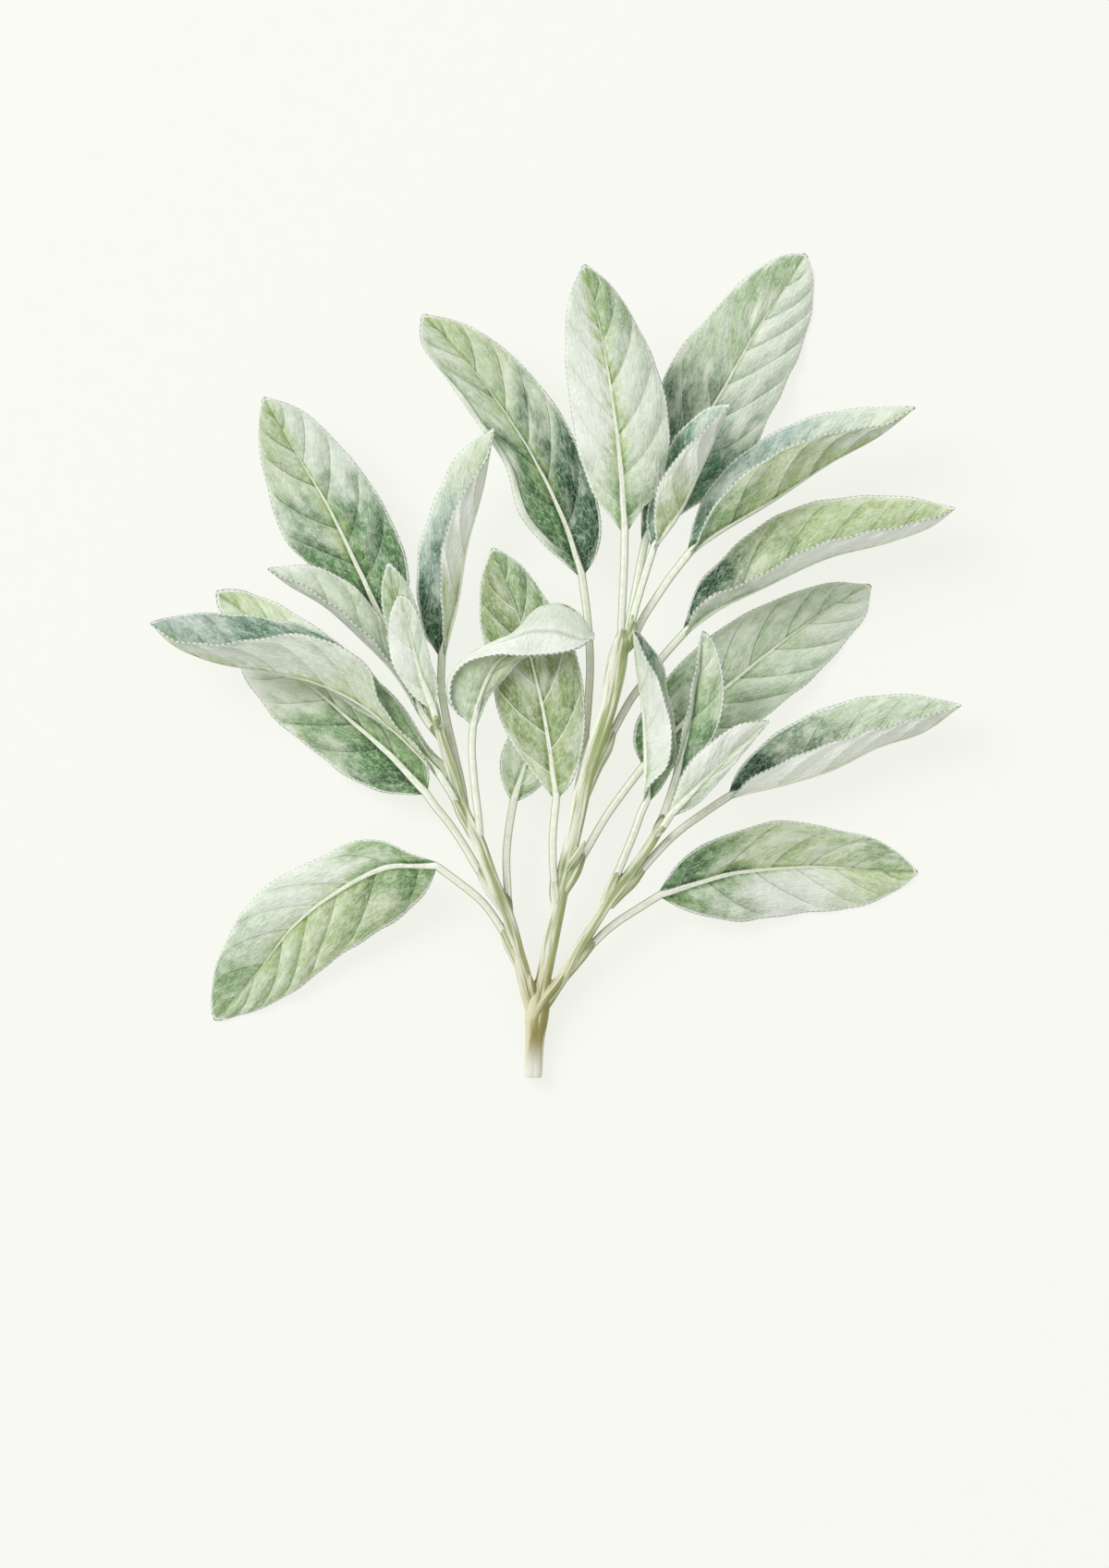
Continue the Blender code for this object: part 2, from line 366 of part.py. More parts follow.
def blade_rows(leaf, rows):
    """Rows of places from a blade's left edge to its right edge, and the thickness at each."""
    shares = np.linspace(0.0, 1.0, rows)
    base, tip = leaf["rib"][0], leaf["rib"][-1]
    names = ["left", "fold", "right"] if "fold" in leaf else ["left", "right"]
    edges = [smooth_line([base, *leaf[name], tip], shares) for name in names]
    rib = smooth_line(leaf["rib"], shares)
    lines = [*edges[:-1], rib, edges[-1]]
    lines[-3], lines[-1] = open_fold(rib, lines[-3], lines[-1], 0.5)
    if "fold" in leaf:
        lines[0], _ = open_fold(lines[1], lines[0], rib, 1.0)
    widened = 0.5 * STALK_WIDTH * (1.0 - shares[:, None]) ** BASE_FADE * flat_sides(rib)
    if "fold" not in leaf:
        across = lines[0][-2] - lines[-1][-2]
        widened += TIP_HALF_WIDTH * shares[:, None] ** TIP_FADE * across / np.linalg.norm(across)
    toothed = (shares > TOOTHED_FROM) & (shares < TOOTHED_TO)
    tooth = TOOTH_DEPTH * np.where(np.arange(rows) % 2, 1.0, -1.0) * toothed
    for edge, inner in ((0, lines[1]), (-1, lines[-2])):
        outward = lines[edge] - inner
        outward /= np.maximum(np.linalg.norm(outward, axis=1, keepdims=True), 0.5)
        lines[edge] = lines[edge] + outward * tooth[:, None]

    columns = []
    for near, far in zip(lines[:-1], lines[1:]):
        width = np.linalg.norm(far - near, axis=1)
        middle = 0.5 * (near + far)
        middle[:, 2] += PILLOW * width
        columns += [near, middle]
    columns.append(lines[-1])
    rib_column = len(columns) - 3
    spread = np.interp(np.arange(len(columns)), [0, rib_column, len(columns) - 1], [1.0, 0.0, -1.0])
    places = np.stack(columns, axis=1)
    places += widened[:, None] * spread[None, :, None]
    if "fold" in leaf:
        places[-1] += CURLED_TIP_SHARE * (places[-2] - places[-2, rib_column])
    places[:, :, 2] = np.maximum(places[:, :, 2], LOWEST_BLADE)

    taper = shares[:, None] ** 0.5
    stalk = STALK_THICKNESS * (1.0 - (1.0 - STALK_EDGE_SHARE) * np.abs(spread))[None, :]
    blade = np.full((rows, len(columns)), BLADE_THICKNESS)
    blade[:, rib_column] = TIP_RIB_THICKNESS
    sooner = np.where(np.arange(len(columns)) == rib_column, 1.0, EDGE_THINS_BY)
    fade = np.clip(1.0 - taper * sooner, 0.0, 1.0)
    return places, blade + (stalk - blade) * fade, spread


def leaf_grid(leaf):
    """The leaf's whole middle surface as rows of places: its stalk, then its blade."""
    places, thickness, spread = blade_rows(leaf, leaf.get("rows", LARGE_ROWS))
    line = [*leaf["stalk"], leaf["rib"][0]]
    length = np.linalg.norm(np.diff(np.array(line), axis=0), axis=1).sum()
    count = max(2, round(length / STALK_ROW_SPACING))
    stalk = smooth_line(line, np.linspace(0.0, 1.0, count + 1)[:-1])
    sides = flat_sides(np.vstack([stalk, [leaf["rib"][0]]]))[:-1]
    stalk_places = stalk[:, None] + sides[:, None] * (0.5 * STALK_WIDTH * spread)[None, :, None]
    stalk_thickness = np.repeat(
        STALK_THICKNESS * (1.0 - (1.0 - STALK_EDGE_SHARE) * np.abs(spread))[None, :], count, axis=0)
    return np.concatenate([stalk_places, places]), np.concatenate([stalk_thickness, thickness])


def material(name, colour, roughness):
    """A plain Principled material."""
    made = bpy.data.materials.new(name)
    made.use_nodes = True
    shader = made.node_tree.nodes["Principled BSDF"]
    shader.inputs["Base Color"].default_value = (*colour, 1.0)
    shader.inputs["Roughness"].default_value = roughness
    made.diffuse_color = (*colour, 1.0)
    return made


def collection(name, cutters=False):
    """A collection of the scene, hidden from renders if it holds cutters."""
    made = bpy.data.collections.new(name)
    bpy.context.scene.collection.children.link(made)
    made.hide_render = cutters
    return made


def stem_curve(name, route, extra, where):
    """One shoot as a round tapered curve, made a mesh with welded caps."""
    length = np.linalg.norm(np.diff(np.array(route)[:, :3], axis=0), axis=1).sum()
    count = max(3, round(length / STEM_RING_SPACING))
    path = smooth_line(route, np.linspace(0.0, 1.0, count + 1))
    for end, inner in ((0, 1), (-1, -2)):
        outward = path[end, :3] - path[inner, :3]
        path[end, :3] += extra * outward / np.linalg.norm(outward)
    curve = bpy.data.curves.new(name, "CURVE")
    curve.dimensions = "3D"
    curve.bevel_depth = MM
    curve.bevel_resolution = 2
    curve.use_fill_caps = True
    spline = curve.splines.new("POLY")
    spline.points.add(len(path) - 1)
    for point, place in zip(spline.points, path):
        point.co = (*to_world(place), 1.0)
        point.radius = place[3] + extra
    drawn = bpy.data.objects.new(name + "_curve", curve)
    where.objects.link(drawn)
    evaluated = drawn.evaluated_get(bpy.context.evaluated_depsgraph_get())
    shoot = bpy.data.objects.new(name, bpy.data.meshes.new_from_object(evaluated))
    shoot.matrix_world = drawn.matrix_world
    where.objects.link(shoot)
    bpy.data.objects.remove(drawn)
    weld(shoot.data)
    return shoot


def weld(mesh):
    """Joins points that lie on each other, such as a curve's caps and its wall."""
    work = bmesh.new()
    work.from_mesh(mesh)
    bmesh.ops.remove_doubles(work, verts=work.verts, dist=1e-6)
    bmesh.ops.recalc_face_normals(work, faces=work.faces)
    work.to_mesh(mesh)
    work.free()


def branching_stem(name, extra, where):
    """All the shoots joined in one solid, each with its radius widened by the extra."""
    repeats = bpy.data.collections.new(name + "_shoots")
    bpy.context.scene.collection.children.link(repeats)
    trunk = stem_curve(name, STEM_ROUTES[0], extra, where)
    for number, route in enumerate(STEM_ROUTES[1:]):
        stem_curve(f"{name}_shoot_{number}", route, extra, repeats)
    join = trunk.modifiers.new("join shoots", "BOOLEAN")
    join.operation = "UNION"
    join.solver = "MANIFOLD"
    join.operand_type = "COLLECTION"
    join.collection = repeats
    evaluated = trunk.evaluated_get(bpy.context.evaluated_depsgraph_get())
    joined = bpy.data.meshes.new_from_object(evaluated)
    trunk.modifiers.clear()
    trunk.data = joined
    weld(joined)
    for shoot in list(repeats.objects):
        bpy.data.objects.remove(shoot)
    bpy.data.collections.remove(repeats)
    return trunk


def surface_cutter(where):
    """A block below the surface, which flattens what lies on it."""
    bpy.ops.mesh.primitive_cube_add(size=1.0, location=(0.0, 0.0, -0.5 * SURFACE_BLOCK[2]))
    block = bpy.context.object
    block.name = "below_surface"
    block.scale = SURFACE_BLOCK
    for owner in list(block.users_collection):
        owner.objects.unlink(block)
    where.objects.link(block)
    return block


def cut(piece, cutter, name):
    """Cuts one solid out of another with a live modifier."""
    modifier = piece.modifiers.new(name, "BOOLEAN")
    modifier.operation = "DIFFERENCE"
    modifier.solver = "MANIFOLD"
    modifier.object = cutter


def leaf_piece(name, leaf, where, stem_room, surface):
    """One leaf with its stalk: a bent grid with thickness, cut clear of the stem."""
    places, thickness = leaf_grid(leaf)
    rows, columns = thickness.shape
    work = bmesh.new()
    bmesh.ops.create_grid(work, x_segments=rows - 1, y_segments=columns - 1, size=0.5)
    depth = work.verts.layers.deform.verify()
    for vert in work.verts:
        row = round((vert.co.x + 0.5) * (rows - 1))
        column = round((0.5 - vert.co.y) * (columns - 1))
        vert.co = to_world(places[row, column])
        vert[depth][0] = thickness[row, column] / STALK_THICKNESS
    bmesh.ops.triangulate(work, faces=work.faces, quad_method="SHORT_EDGE")
    for face in work.faces:
        face.smooth = True
    mesh = bpy.data.meshes.new(name)
    work.to_mesh(mesh)
    work.free()
    mesh.materials.append(material(name + "_green", leaf["colour"], 0.75))
    piece = bpy.data.objects.new(name, mesh)
    where.objects.link(piece)
    piece.vertex_groups.new(name="thickness")
    solid = piece.modifiers.new("blade thickness", "SOLIDIFY")
    solid.thickness = STALK_THICKNESS * MM
    solid.offset = 0.0
    solid.vertex_group = "thickness"
    cut(piece, stem_room, "clear of the stem")
    if places[:, :, 2].min() <= LOWEST_BLADE:
        cut(piece, surface, "flat on the surface")
    return piece


for old in list(bpy.data.objects):
    bpy.data.objects.remove(old)

sprig = collection("sage_sprig")
cutters = collection("cutters", cutters=True)
room = branching_stem("stem_room", CLEARANCE, cutters)
below = surface_cutter(cutters)
for cutter in (room, below):
    cutter.display_type = "WIRE"
    cutter.hide_render = True

stem = branching_stem("stem", 0.0, sprig)
stem.data.materials.clear()
stem.data.materials.append(material("stem_green", STEM_GREEN, 0.65))
cut(stem, below, "flat on the surface")
for polygon in stem.data.polygons:
    polygon.use_smooth = True

for leaf_name, shape in LEAVES.items():
    leaf_piece(leaf_name, shape, sprig, room, below)
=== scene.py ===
import random

import bmesh
import bpy
import numpy as np
from mathutils import Matrix, Vector, noise


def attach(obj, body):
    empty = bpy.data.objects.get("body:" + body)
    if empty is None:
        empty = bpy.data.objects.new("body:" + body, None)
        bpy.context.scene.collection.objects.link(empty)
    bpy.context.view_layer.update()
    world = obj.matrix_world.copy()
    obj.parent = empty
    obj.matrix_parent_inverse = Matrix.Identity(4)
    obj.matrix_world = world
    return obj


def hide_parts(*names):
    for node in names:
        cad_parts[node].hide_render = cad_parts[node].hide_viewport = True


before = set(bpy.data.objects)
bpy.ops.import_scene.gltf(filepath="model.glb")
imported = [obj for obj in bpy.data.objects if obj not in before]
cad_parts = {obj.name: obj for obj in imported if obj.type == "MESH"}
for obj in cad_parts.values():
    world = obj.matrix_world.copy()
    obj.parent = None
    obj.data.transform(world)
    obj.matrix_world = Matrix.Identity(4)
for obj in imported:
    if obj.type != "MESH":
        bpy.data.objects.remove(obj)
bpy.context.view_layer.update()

# The studio. The sprig lies on a plain pale table that glows a little, so that its shadows stay
# faint, under one broad soft light and a bright even sky. The camera looks straight down on it,
# with the stem's cut end at the bottom.
VIEW_CENTRE = (-0.0003, -0.02565)
VIEW_HEIGHT = 0.3394
camera = bpy.data.objects.new("camera", bpy.data.cameras.new("camera"))
camera.data.type = "ORTHO"
camera.data.ortho_scale = VIEW_HEIGHT
camera.location = (*VIEW_CENTRE, 0.6)
bpy.context.scene.collection.objects.link(camera)
bpy.context.scene.camera = camera
bpy.context.scene.view_settings.view_transform = "Standard"


class Value:
    """A number or colour in a material's node tree. Sums made with it add Math nodes to the tree."""

    def __init__(self, socket):
        self.socket = socket

    def __add__(self, other):
        return maths("ADD", self, other)

    def __sub__(self, other):
        return maths("SUBTRACT", self, other)

    def __rsub__(self, other):
        return maths("SUBTRACT", other, self)

    def __mul__(self, other):
        return maths("MULTIPLY", self, other)

    def __truediv__(self, other):
        return maths("DIVIDE", self, other)

    def __pow__(self, other):
        return maths("POWER", self, other)

    def __abs__(self):
        return maths("ABSOLUTE", self)


def tree_of(values):
    """The node tree of the first value that isn't a plain number or colour."""
    return next(value.socket.id_data for value in values if isinstance(value, Value))


def node(tree, kind, output, inputs, **settings):
    """One output of a new node, with its settings, and its inputs linked or set to values."""
    made = tree.nodes.new(kind)
    for key, value in settings.items():
        setattr(made, key, value)
    for key, value in dict(inputs).items():
        if isinstance(value, Value):
            tree.links.new(value.socket, made.inputs[key])
        else:
            made.inputs[key].default_value = value
    return Value(made.outputs[output])


def maths(operation, *values):
    """The result of one Math node."""
    return node(tree_of(values), "ShaderNodeMath", 0, enumerate(values), operation=operation)


def ease(value, start, end, low=0.0, high=1.0):
    """A value mapped smoothly from one range to another, and held at its ends."""
    inputs = {"Value": value, "From Min": start, "From Max": end, "To Min": low, "To Max": high}
    return node(tree_of([value]), "ShaderNodeMapRange", "Result", inputs, interpolation_type="SMOOTHSTEP")


def blend(share, first, second, way="MIX"):
    """Two colours mixed by a share."""
    inputs = {0: share, 6: first, 7: second}
    return node(tree_of([share, first]), "ShaderNodeMix", 2, inputs, data_type="RGBA", blend_type=way)


def deeper(share, colour, tint=None):
    """A colour multiplied by itself, or by a tint, by a share."""
    return blend(share, colour, blend(1.0, colour, tint or colour, "MULTIPLY"))


def paint(red, green, blue):
    """A colour from its three display values, 0 to 255, as the light that it reflects."""
    return (*[(c / 255.0) ** 2.2 for c in (red, green, blue)], 1.0)


def grain(tree, size, detail=2.0, stretch=(1.0, 1.0, 1.0)):
    """A noise value whose patches measure about the given size in metres."""
    place = node(tree, "ShaderNodeTexCoord", "Object", {})
    scaled = node(tree, "ShaderNodeMapping", "Vector", {"Vector": place, "Scale": stretch})
    inputs = {"Vector": scaled, "Scale": 1.0 / size, "Detail": detail}
    return node(tree, "ShaderNodeTexNoise", "Fac", inputs)


def place_of(x, y, z):
    """A place made of three values."""
    return node(tree_of([x, y, z]), "ShaderNodeCombineXYZ", "Vector", {"X": x, "Y": y, "Z": z})


def strands(x, y, z, detail):
    """A noise value at a place made of three values."""
    inputs = {"Vector": place_of(x, y, z), "Scale": 1.0, "Detail": detail}
    return node(tree_of([x]), "ShaderNodeTexNoise", "Fac", inputs)


def facts_of(tree, *names):
    """Numbers stored at a mesh's points."""
    return [node(tree, "ShaderNodeAttribute", "Fac", {}, attribute_name=name) for name in names]


def dull_material(name, skin_of, bump_distance, roughness=0.78, sheen=0.15):
    """A matt Principled material. A function of its tree gives its colour and its bump's height."""
    made = bpy.data.materials.new(name)
    made.use_nodes = True
    tree = made.node_tree
    shader = tree.nodes["Principled BSDF"]
    shader.inputs["Roughness"].default_value = roughness
    shader.inputs["Specular IOR Level"].default_value = 0.25
    shader.inputs["Sheen Weight"].default_value = sheen
    shader.inputs["Sheen Roughness"].default_value = 0.5
    colour, height = skin_of(tree)
    tree.links.new(colour.socket, shader.inputs["Base Color"])
    inputs = {"Height": height, "Distance": bump_distance, "Strength": 0.6}
    bump = node(tree, "ShaderNodeBump", "Normal", inputs)
    tree.links.new(bump.socket, shader.inputs["Normal"])
    return made


def paper_skin(tree):
    """A grey a little below half, with a faint mottle."""
    return blend(grain(tree, 0.004), paint(108, 109, 105), paint(112, 113, 109)), grain(tree, 0.001)


work = bmesh.new()
bmesh.ops.create_grid(work, x_segments=8, y_segments=8, size=1.5)
table = bpy.data.objects.new("table", bpy.data.meshes.new("table"))
work.to_mesh(table.data)
work.free()
paper = dull_material("table_white", paper_skin, 0.00001, roughness=0.9, sheen=0.0)
paper.node_tree.nodes["Principled BSDF"].inputs["Emission Color"].default_value = paint(247, 248, 241)
paper.node_tree.nodes["Principled BSDF"].inputs["Emission Strength"].default_value = 0.83
table.data.materials.append(paper)
bpy.context.scene.collection.objects.link(table)

sky = bpy.data.worlds.new("sky")
sky.use_nodes = True
sky.node_tree.nodes["Background"].inputs["Color"].default_value = (1.0, 1.0, 1.0, 1.0)
sky.node_tree.nodes["Background"].inputs["Strength"].default_value = 0.64
bpy.context.scene.world = sky

window = bpy.data.objects.new("window", bpy.data.lights.new("window", "AREA"))
window.data.shape = "DISK"
window.data.size = 1.7
window.data.energy = 48.0
window.location = (-1.6, 1.25, 1.9)
window.rotation_euler = (Vector((0, 0, 0)) - window.location).to_track_quat("-Z", "Y").to_euler()
bpy.context.scene.collection.objects.link(window)

# The stem. One piece of tissue: a short woody foot with its cut end, three leafy shoots with
# blunt corners, a bud in each fork, and the feet of some leaf stalks. Tubes along the routes, each
# point of which is a place and a radius in millimetres, are grown together into one skin.
SPRIG_CENTRE = np.array([0.3, 89.55, 0.0])
MM = 0.001
TUBE_SIDES, RING_SPACING = 24, 0.8
CORNER_BULGE = 0.09  # how far a shoot's blunt corners stand out, as a share of its radius
SHOOT_COUNT, TUBE_COUNT = 4, 7  # in the list below, shoots come first, then buds and the ridge
STRAND_END_RADIUS = 0.75
SKIN_GRAIN = 0.00022  # in metres
PATH_STEPS, ROUTE_SHIFT = 120, 40.0  # the shift gives each route its own streaks
GREEN_REACH = 2.2  # how far the green of a fork reaches
LOWEST_STEM = 0.02
SHOOTS = [
    # trunk and middle shoot
    [(-4.7, 0.4, 2.0, 2.2), (-4.2, 9.2, 2.3, 2.3), (-3.8, 14.0, 3.0, 2.8), (-3.3, 17.6, 3.6, 2.6),
        (-2.7, 20.4, 4.2, 1.9), (-1.9, 24.1, 4.8, 1.8), (-0.9, 29.1, 5.7, 1.8), (0.9, 38.6, 7.4, 1.9),
        (4.2, 53.6, 10.7, 1.9), (7.3, 67.6, 13.0, 2.1), (11.4, 79.6, 15.0, 2.0), (13.7, 91.0, 17.2, 2.3),
        (14.6, 95.6, 18.2, 1.6)],
    # side shoot below the crown
    [(13.8, 90.6, 17.0, 1.2), (15.6, 94.2, 17.6, 1.3), (16.8, 96.8, 18.2, 1.1)],
    # left shoot
    [(-4.6, 15.0, 3.0, 1.9), (-6.0, 19.8, 4.4, 1.8), (-7.0, 24.0, 5.6, 1.7), (-7.8, 27.2, 6.5, 1.5),
        (-8.6, 30.6, 7.5, 1.4), (-9.7, 34.1, 8.6, 1.5), (-11.2, 37.9, 9.7, 1.6), (-13.0, 42.1, 10.9, 1.5),
        (-14.6, 46.2, 11.6, 1.6), (-16.2, 50.8, 12.4, 1.6), (-17.6, 54.0, 13.0, 1.5),
        (-19.2, 57.4, 13.6, 1.3), (-20.6, 61.2, 14.1, 1.4), (-22.2, 67.1, 15.0, 1.5),
        (-23.0, 69.6, 15.4, 1.4), (-24.3, 73.6, 16.0, 1.2), (-25.4, 77.4, 16.4, 1.1)],
    # right shoot
    [(-2.6, 15.8, 3.4, 1.7), (0.4, 20.1, 4.4, 1.5), (2.4, 23.1, 5.2, 1.4), (5.0, 27.9, 6.6, 1.3),
        (6.8, 30.6, 7.3, 1.3), (8.9, 34.1, 8.3, 1.3), (11.2, 37.9, 9.3, 1.4), (13.6, 41.2, 10.3, 1.4),
        (16.2, 44.4, 11.1, 1.3), (18.7, 47.9, 12.0, 1.2), (21.0, 51.4, 12.7, 1.2), (23.0, 54.6, 13.2, 1.1)],
    # buds in the forks
    [(-4.2, 17.6, 4.5, 0.9), (-5.0, 20.5, 6.2, 0.8), (-5.3, 22.6, 7.2, 0.3)],
    [(2.6, 45.0, 9.6, 0.9), (5.2, 49.0, 12.0, 0.8), (6.6, 51.6, 13.0, 0.3)],
    # the ridge in front of the lowest fork
    [(-4.4, 13.0, 5.0, 0.6), (-2.4, 16.8, 5.8, 0.9), (0.2, 20.2, 5.5, 1.0), (2.2, 23.0, 5.7, 0.8)],
    # feet of leaf stalks that run on down the shoots: on the left one, from the lowest up
    [(-7.6, 24.4, 5.8, 1.1), (-8.7, 27.2, 6.4, 1.4), (-10.1, 30.0, 7.1, 1.3), (-11.2, 32.2, 7.7, 1.1)],
    [(-11.2, 37.0, 9.4, 1.1), (-13.0, 39.6, 9.8, 1.2), (-14.7, 42.3, 10.1, 1.2), (-16.2, 45.0, 10.2, 1.1)],
    [(-17.6, 52.4, 12.6, 1.0), (-19.1, 55.6, 13.4, 1.2), (-20.5, 58.4, 14.4, 1.2), (-21.5, 60.4, 15.2, 1.1)],
    # on the middle one
    [(0.7, 36.6, 7.4, 1.1), (0.2, 40.4, 8.5, 1.4), (-0.2, 43.8, 9.6, 1.1)],
    [(1.8, 40.4, 8.2, 1.2), (4.4, 45.2, 9.2, 1.5), (6.4, 48.8, 9.4, 1.1)],
    [(6.6, 61.6, 12.0, 1.2), (8.8, 67.6, 12.8, 1.6), (11.2, 72.2, 12.9, 1.6), (12.8, 75.4, 12.7, 1.1)],
    # and on the right one
    [(2.2, 22.2, 5.0, 1.1), (4.3, 24.8, 5.6, 1.2), (6.2, 27.1, 6.0, 1.2), (8.2, 29.2, 6.3, 1.1)],
    [(10.8, 37.8, 9.4, 1.1), (12.4, 41.6, 10.6, 1.2), (13.8, 45.0, 11.9, 1.1)],
    [(11.8, 37.6, 9.2, 1.1), (14.3, 40.4, 9.9, 1.3), (16.8, 42.8, 10.4, 1.3), (19.2, 45.4, 10.9, 1.1)],
]
STALK_FEET = []  # filled by the leaves' sections: where each leaf stalk leaves the stem


def to_world(places):
    """Places in millimetres on the sprig's plan, as places in metres around its centre."""
    return (np.asarray(places) - SPRIG_CENTRE) * MM


def curve(knots, slopes, i, t, span=1.0):
    """Places on a smooth curve, at shares t of the way from its knots i to the next ones."""
    return ((2 * t**3 - 3 * t**2 + 1) * knots[i] + (t**3 - 2 * t**2 + t) * span * slopes[i]
            + (3 * t**2 - 2 * t**3) * knots[i + 1] + (t**3 - t**2) * span * slopes[i + 1])


def run_along(line):
    """How far along a line each of its points is, in the line's own unit."""
    return np.concatenate([[0.0], np.cumsum(np.linalg.norm(np.diff(line[:, :3], axis=0), axis=1))])


def smooth_line(points, shares):
    """Places at the given shares of a smooth curve's length through the points."""
    knots = np.array(points, dtype=float)
    at = run_along(knots)
    slopes = np.gradient(knots, at, axis=0)
    distance = np.asarray(shares, dtype=float) * at[-1]
    i = np.clip(np.searchsorted(at, distance, side="right") - 1, 0, len(at) - 2)
    span = (at[i + 1] - at[i])[..., None]
    return curve(knots, slopes, i, (distance - at[i])[..., None] / span, span)


def line_length(points):
    """Length of a line through points, in their own unit."""
    return float(run_along(np.array(points, dtype=float))[-1])


def unit(arms, least=0.0):
    """Arms brought to length one; those shorter than the least length stay short."""
    return arms / np.maximum(np.linalg.norm(arms, axis=-1, keepdims=True), least)


def headings(path):
    """Directions of length one along a path, and level ones to the right of it."""
    ahead = unit(np.gradient(path[:, :3], axis=0))
    return ahead, unit(np.cross(ahead, [0.0, 0.0, 1.0]))


def bent_grid(name, places):
    """A mesh of a grid whose points take rows and columns of places, and each point's row and column."""
    rows, columns = places.shape[:2]
    work = bmesh.new()
    bmesh.ops.create_grid(work, x_segments=rows - 1, y_segments=columns - 1, size=0.5)
    mesh = bpy.data.meshes.new(name)
    work.to_mesh(mesh)
    work.free()
    flat = np.zeros(3 * len(mesh.vertices))
    mesh.vertices.foreach_get("co", flat)
    row = np.round((flat[0::3] + 0.5) * (rows - 1)).astype(int)
    column = np.round((0.5 - flat[1::3]) * (columns - 1)).astype(int)
    mesh.vertices.foreach_set("co", places[row, column].ravel())
    return mesh, row, column


def store(mesh, facts):
    """Stores named numbers at a mesh's points, for its colours."""
    for title, values in facts.items():
        stored = mesh.attributes.new(title, "FLOAT", "POINT")
        stored.data.foreach_set("value", np.ascontiguousarray(values))


def add_tube(joined, route, corners=0):
    """Adds a closed tube along a route to a mesh, with as many blunt corners as asked."""
    rings = max(6, round(line_length(route) / RING_SPACING))
    path = smooth_line(route, np.linspace(0.0, 1.0, rings + 1))
    ahead, right = headings(path)
    over = np.cross(right, ahead)
    turn = np.linspace(0.0, 2.0 * np.pi, TUBE_SIDES + 1)
    bulge = 1.0 + (CORNER_BULGE if corners else 0.0) * np.cos(corners * (turn + np.pi / 4.0))
    radius = path[:, 3, None] * bulge
    places = path[:, None, :3] + radius[..., None] * (
        np.cos(turn)[:, None] * right[:, None] + np.sin(turn)[:, None] * over[:, None])
    tube, _, _ = bent_grid("tube", to_world(places))
    work = bmesh.new()
    work.from_mesh(tube)
    bmesh.ops.remove_doubles(work, verts=work.verts, dist=1e-6)
    bmesh.ops.holes_fill(work, edges=work.edges)
    bmesh.ops.recalc_face_normals(work, faces=work.faces)
    work.to_mesh(tube)
    work.free()
    joined.from_mesh(tube)
    bpy.data.meshes.remove(tube)


def stem_skin(tree):
    """Olive brown at the foot, yellow green and cream above, with fine lines along the shoots and green in
    the forks. Light and shade are painted in: cream along the top and the left side as a painted highlight,
    painted shade down the right flank and under the shoots, and a painted shade line in the groove along the
    top."""
    place = node(tree, "ShaderNodeTexCoord", "Object", {})
    height = node(tree, "ShaderNodeSeparateXYZ", "Y", {"Vector": place})
    top, flank, reach, axil = facts_of(tree, "top", "flank", "reach", "axil")
    streaks = strands(flank * 2.6, reach * 0.07, top * 1.3, 4.0)
    threads = strands(flank * 8.0, reach * 0.11, top * 2.0, 2.0)
    # Painted light: cream on the left side as a painted highlight, olive down the right flank as painted
    # shade, broken by streaks.
    ridge = ease(flank * -0.34 + (streaks * 3.0 - 1.1), 0.05, 0.75)
    young = blend(ridge, paint(164, 178, 120), paint(238, 240, 222))
    woody = blend(ridge, paint(148, 140, 84), paint(222, 218, 178))
    buff = ease(flank, -0.7, 0.1, 0.5, 0.0) * ease(streaks, 0.4, 0.6)
    woody = blend(buff, woody, paint(206, 190, 164))
    body = blend(ease(grain(tree, 0.006) * 0.02 + height, -0.072, -0.044), woody, young)
    body = blend(axil * ease(ridge, 0.0, 1.0, 0.8, 0.3), body, paint(116, 138, 78))
    body = blend(ease(threads, 0.54, 0.68, 0.0, 0.6), body, paint(142, 140, 86))
    # Painted shade: darker olive down the flanks and under the shoots, away from the light on top.
    body = blend(ease(top, 0.12, 0.48, 0.85, 0.0), body, paint(132, 126, 86))
    # Painted shade: a dark line in the groove along the top, strongest at the foot.
    groove = ease(abs(flank + (streaks * 0.5 - 0.3)), 0.02, 0.16, 0.6, 0.0) * ease(top, 0.2, 0.6)
    groove = groove * ease(height, -0.075, -0.062, 1.0, 0.25)
    body = blend(groove, body, paint(140, 128, 78))
    cut_end = ease(streaks * 0.008 + height, -0.0845, -0.077, 0.8, 0.0)
    body = blend(cut_end, body, paint(234, 233, 222))
    return body, grain(tree, 0.0004, 3.0, (1.0, 0.2, 1.0))


def stem_facts(places, forks):
    """What the stem's colours need at its points: how far over the top and the right flank of the
    nearest route each one is, how far along that route, and how near to a fork."""
    nearest = np.full(len(places), np.inf)
    top, flank, reach = (np.zeros(len(places)) for _ in range(3))
    for number, route in enumerate(SHOOTS):
        path = smooth_line(route, np.linspace(0.0, 1.0, PATH_STEPS))
        ahead, right = headings(path)
        gaps = np.linalg.norm(places[:, None] - path[None, :, :3], axis=2) / path[None, :, 3]
        at = gaps.argmin(axis=1)
        gap = gaps[np.arange(len(places)), at]
        arm = places - path[at, :3]
        across = np.sum(arm * right[at], axis=1)
        upward = np.sum(arm * np.cross(right[at], ahead[at]), axis=1)
        size = np.maximum(np.hypot(across, upward), 1e-6)
        closer = gap < nearest
        nearest[closer] = gap[closer]
        top[closer], flank[closer] = (upward / size)[closer], (across / size)[closer]
        reach[closer] = at[closer] / PATH_STEPS * line_length(route) + ROUTE_SHIFT * number
    from_fork = np.linalg.norm(places[:, None] - forks[None], axis=2).min(axis=1)
    return {"top": top, "flank": flank, "reach": reach, "axil": np.exp(-((from_fork / GREEN_REACH) ** 2))}


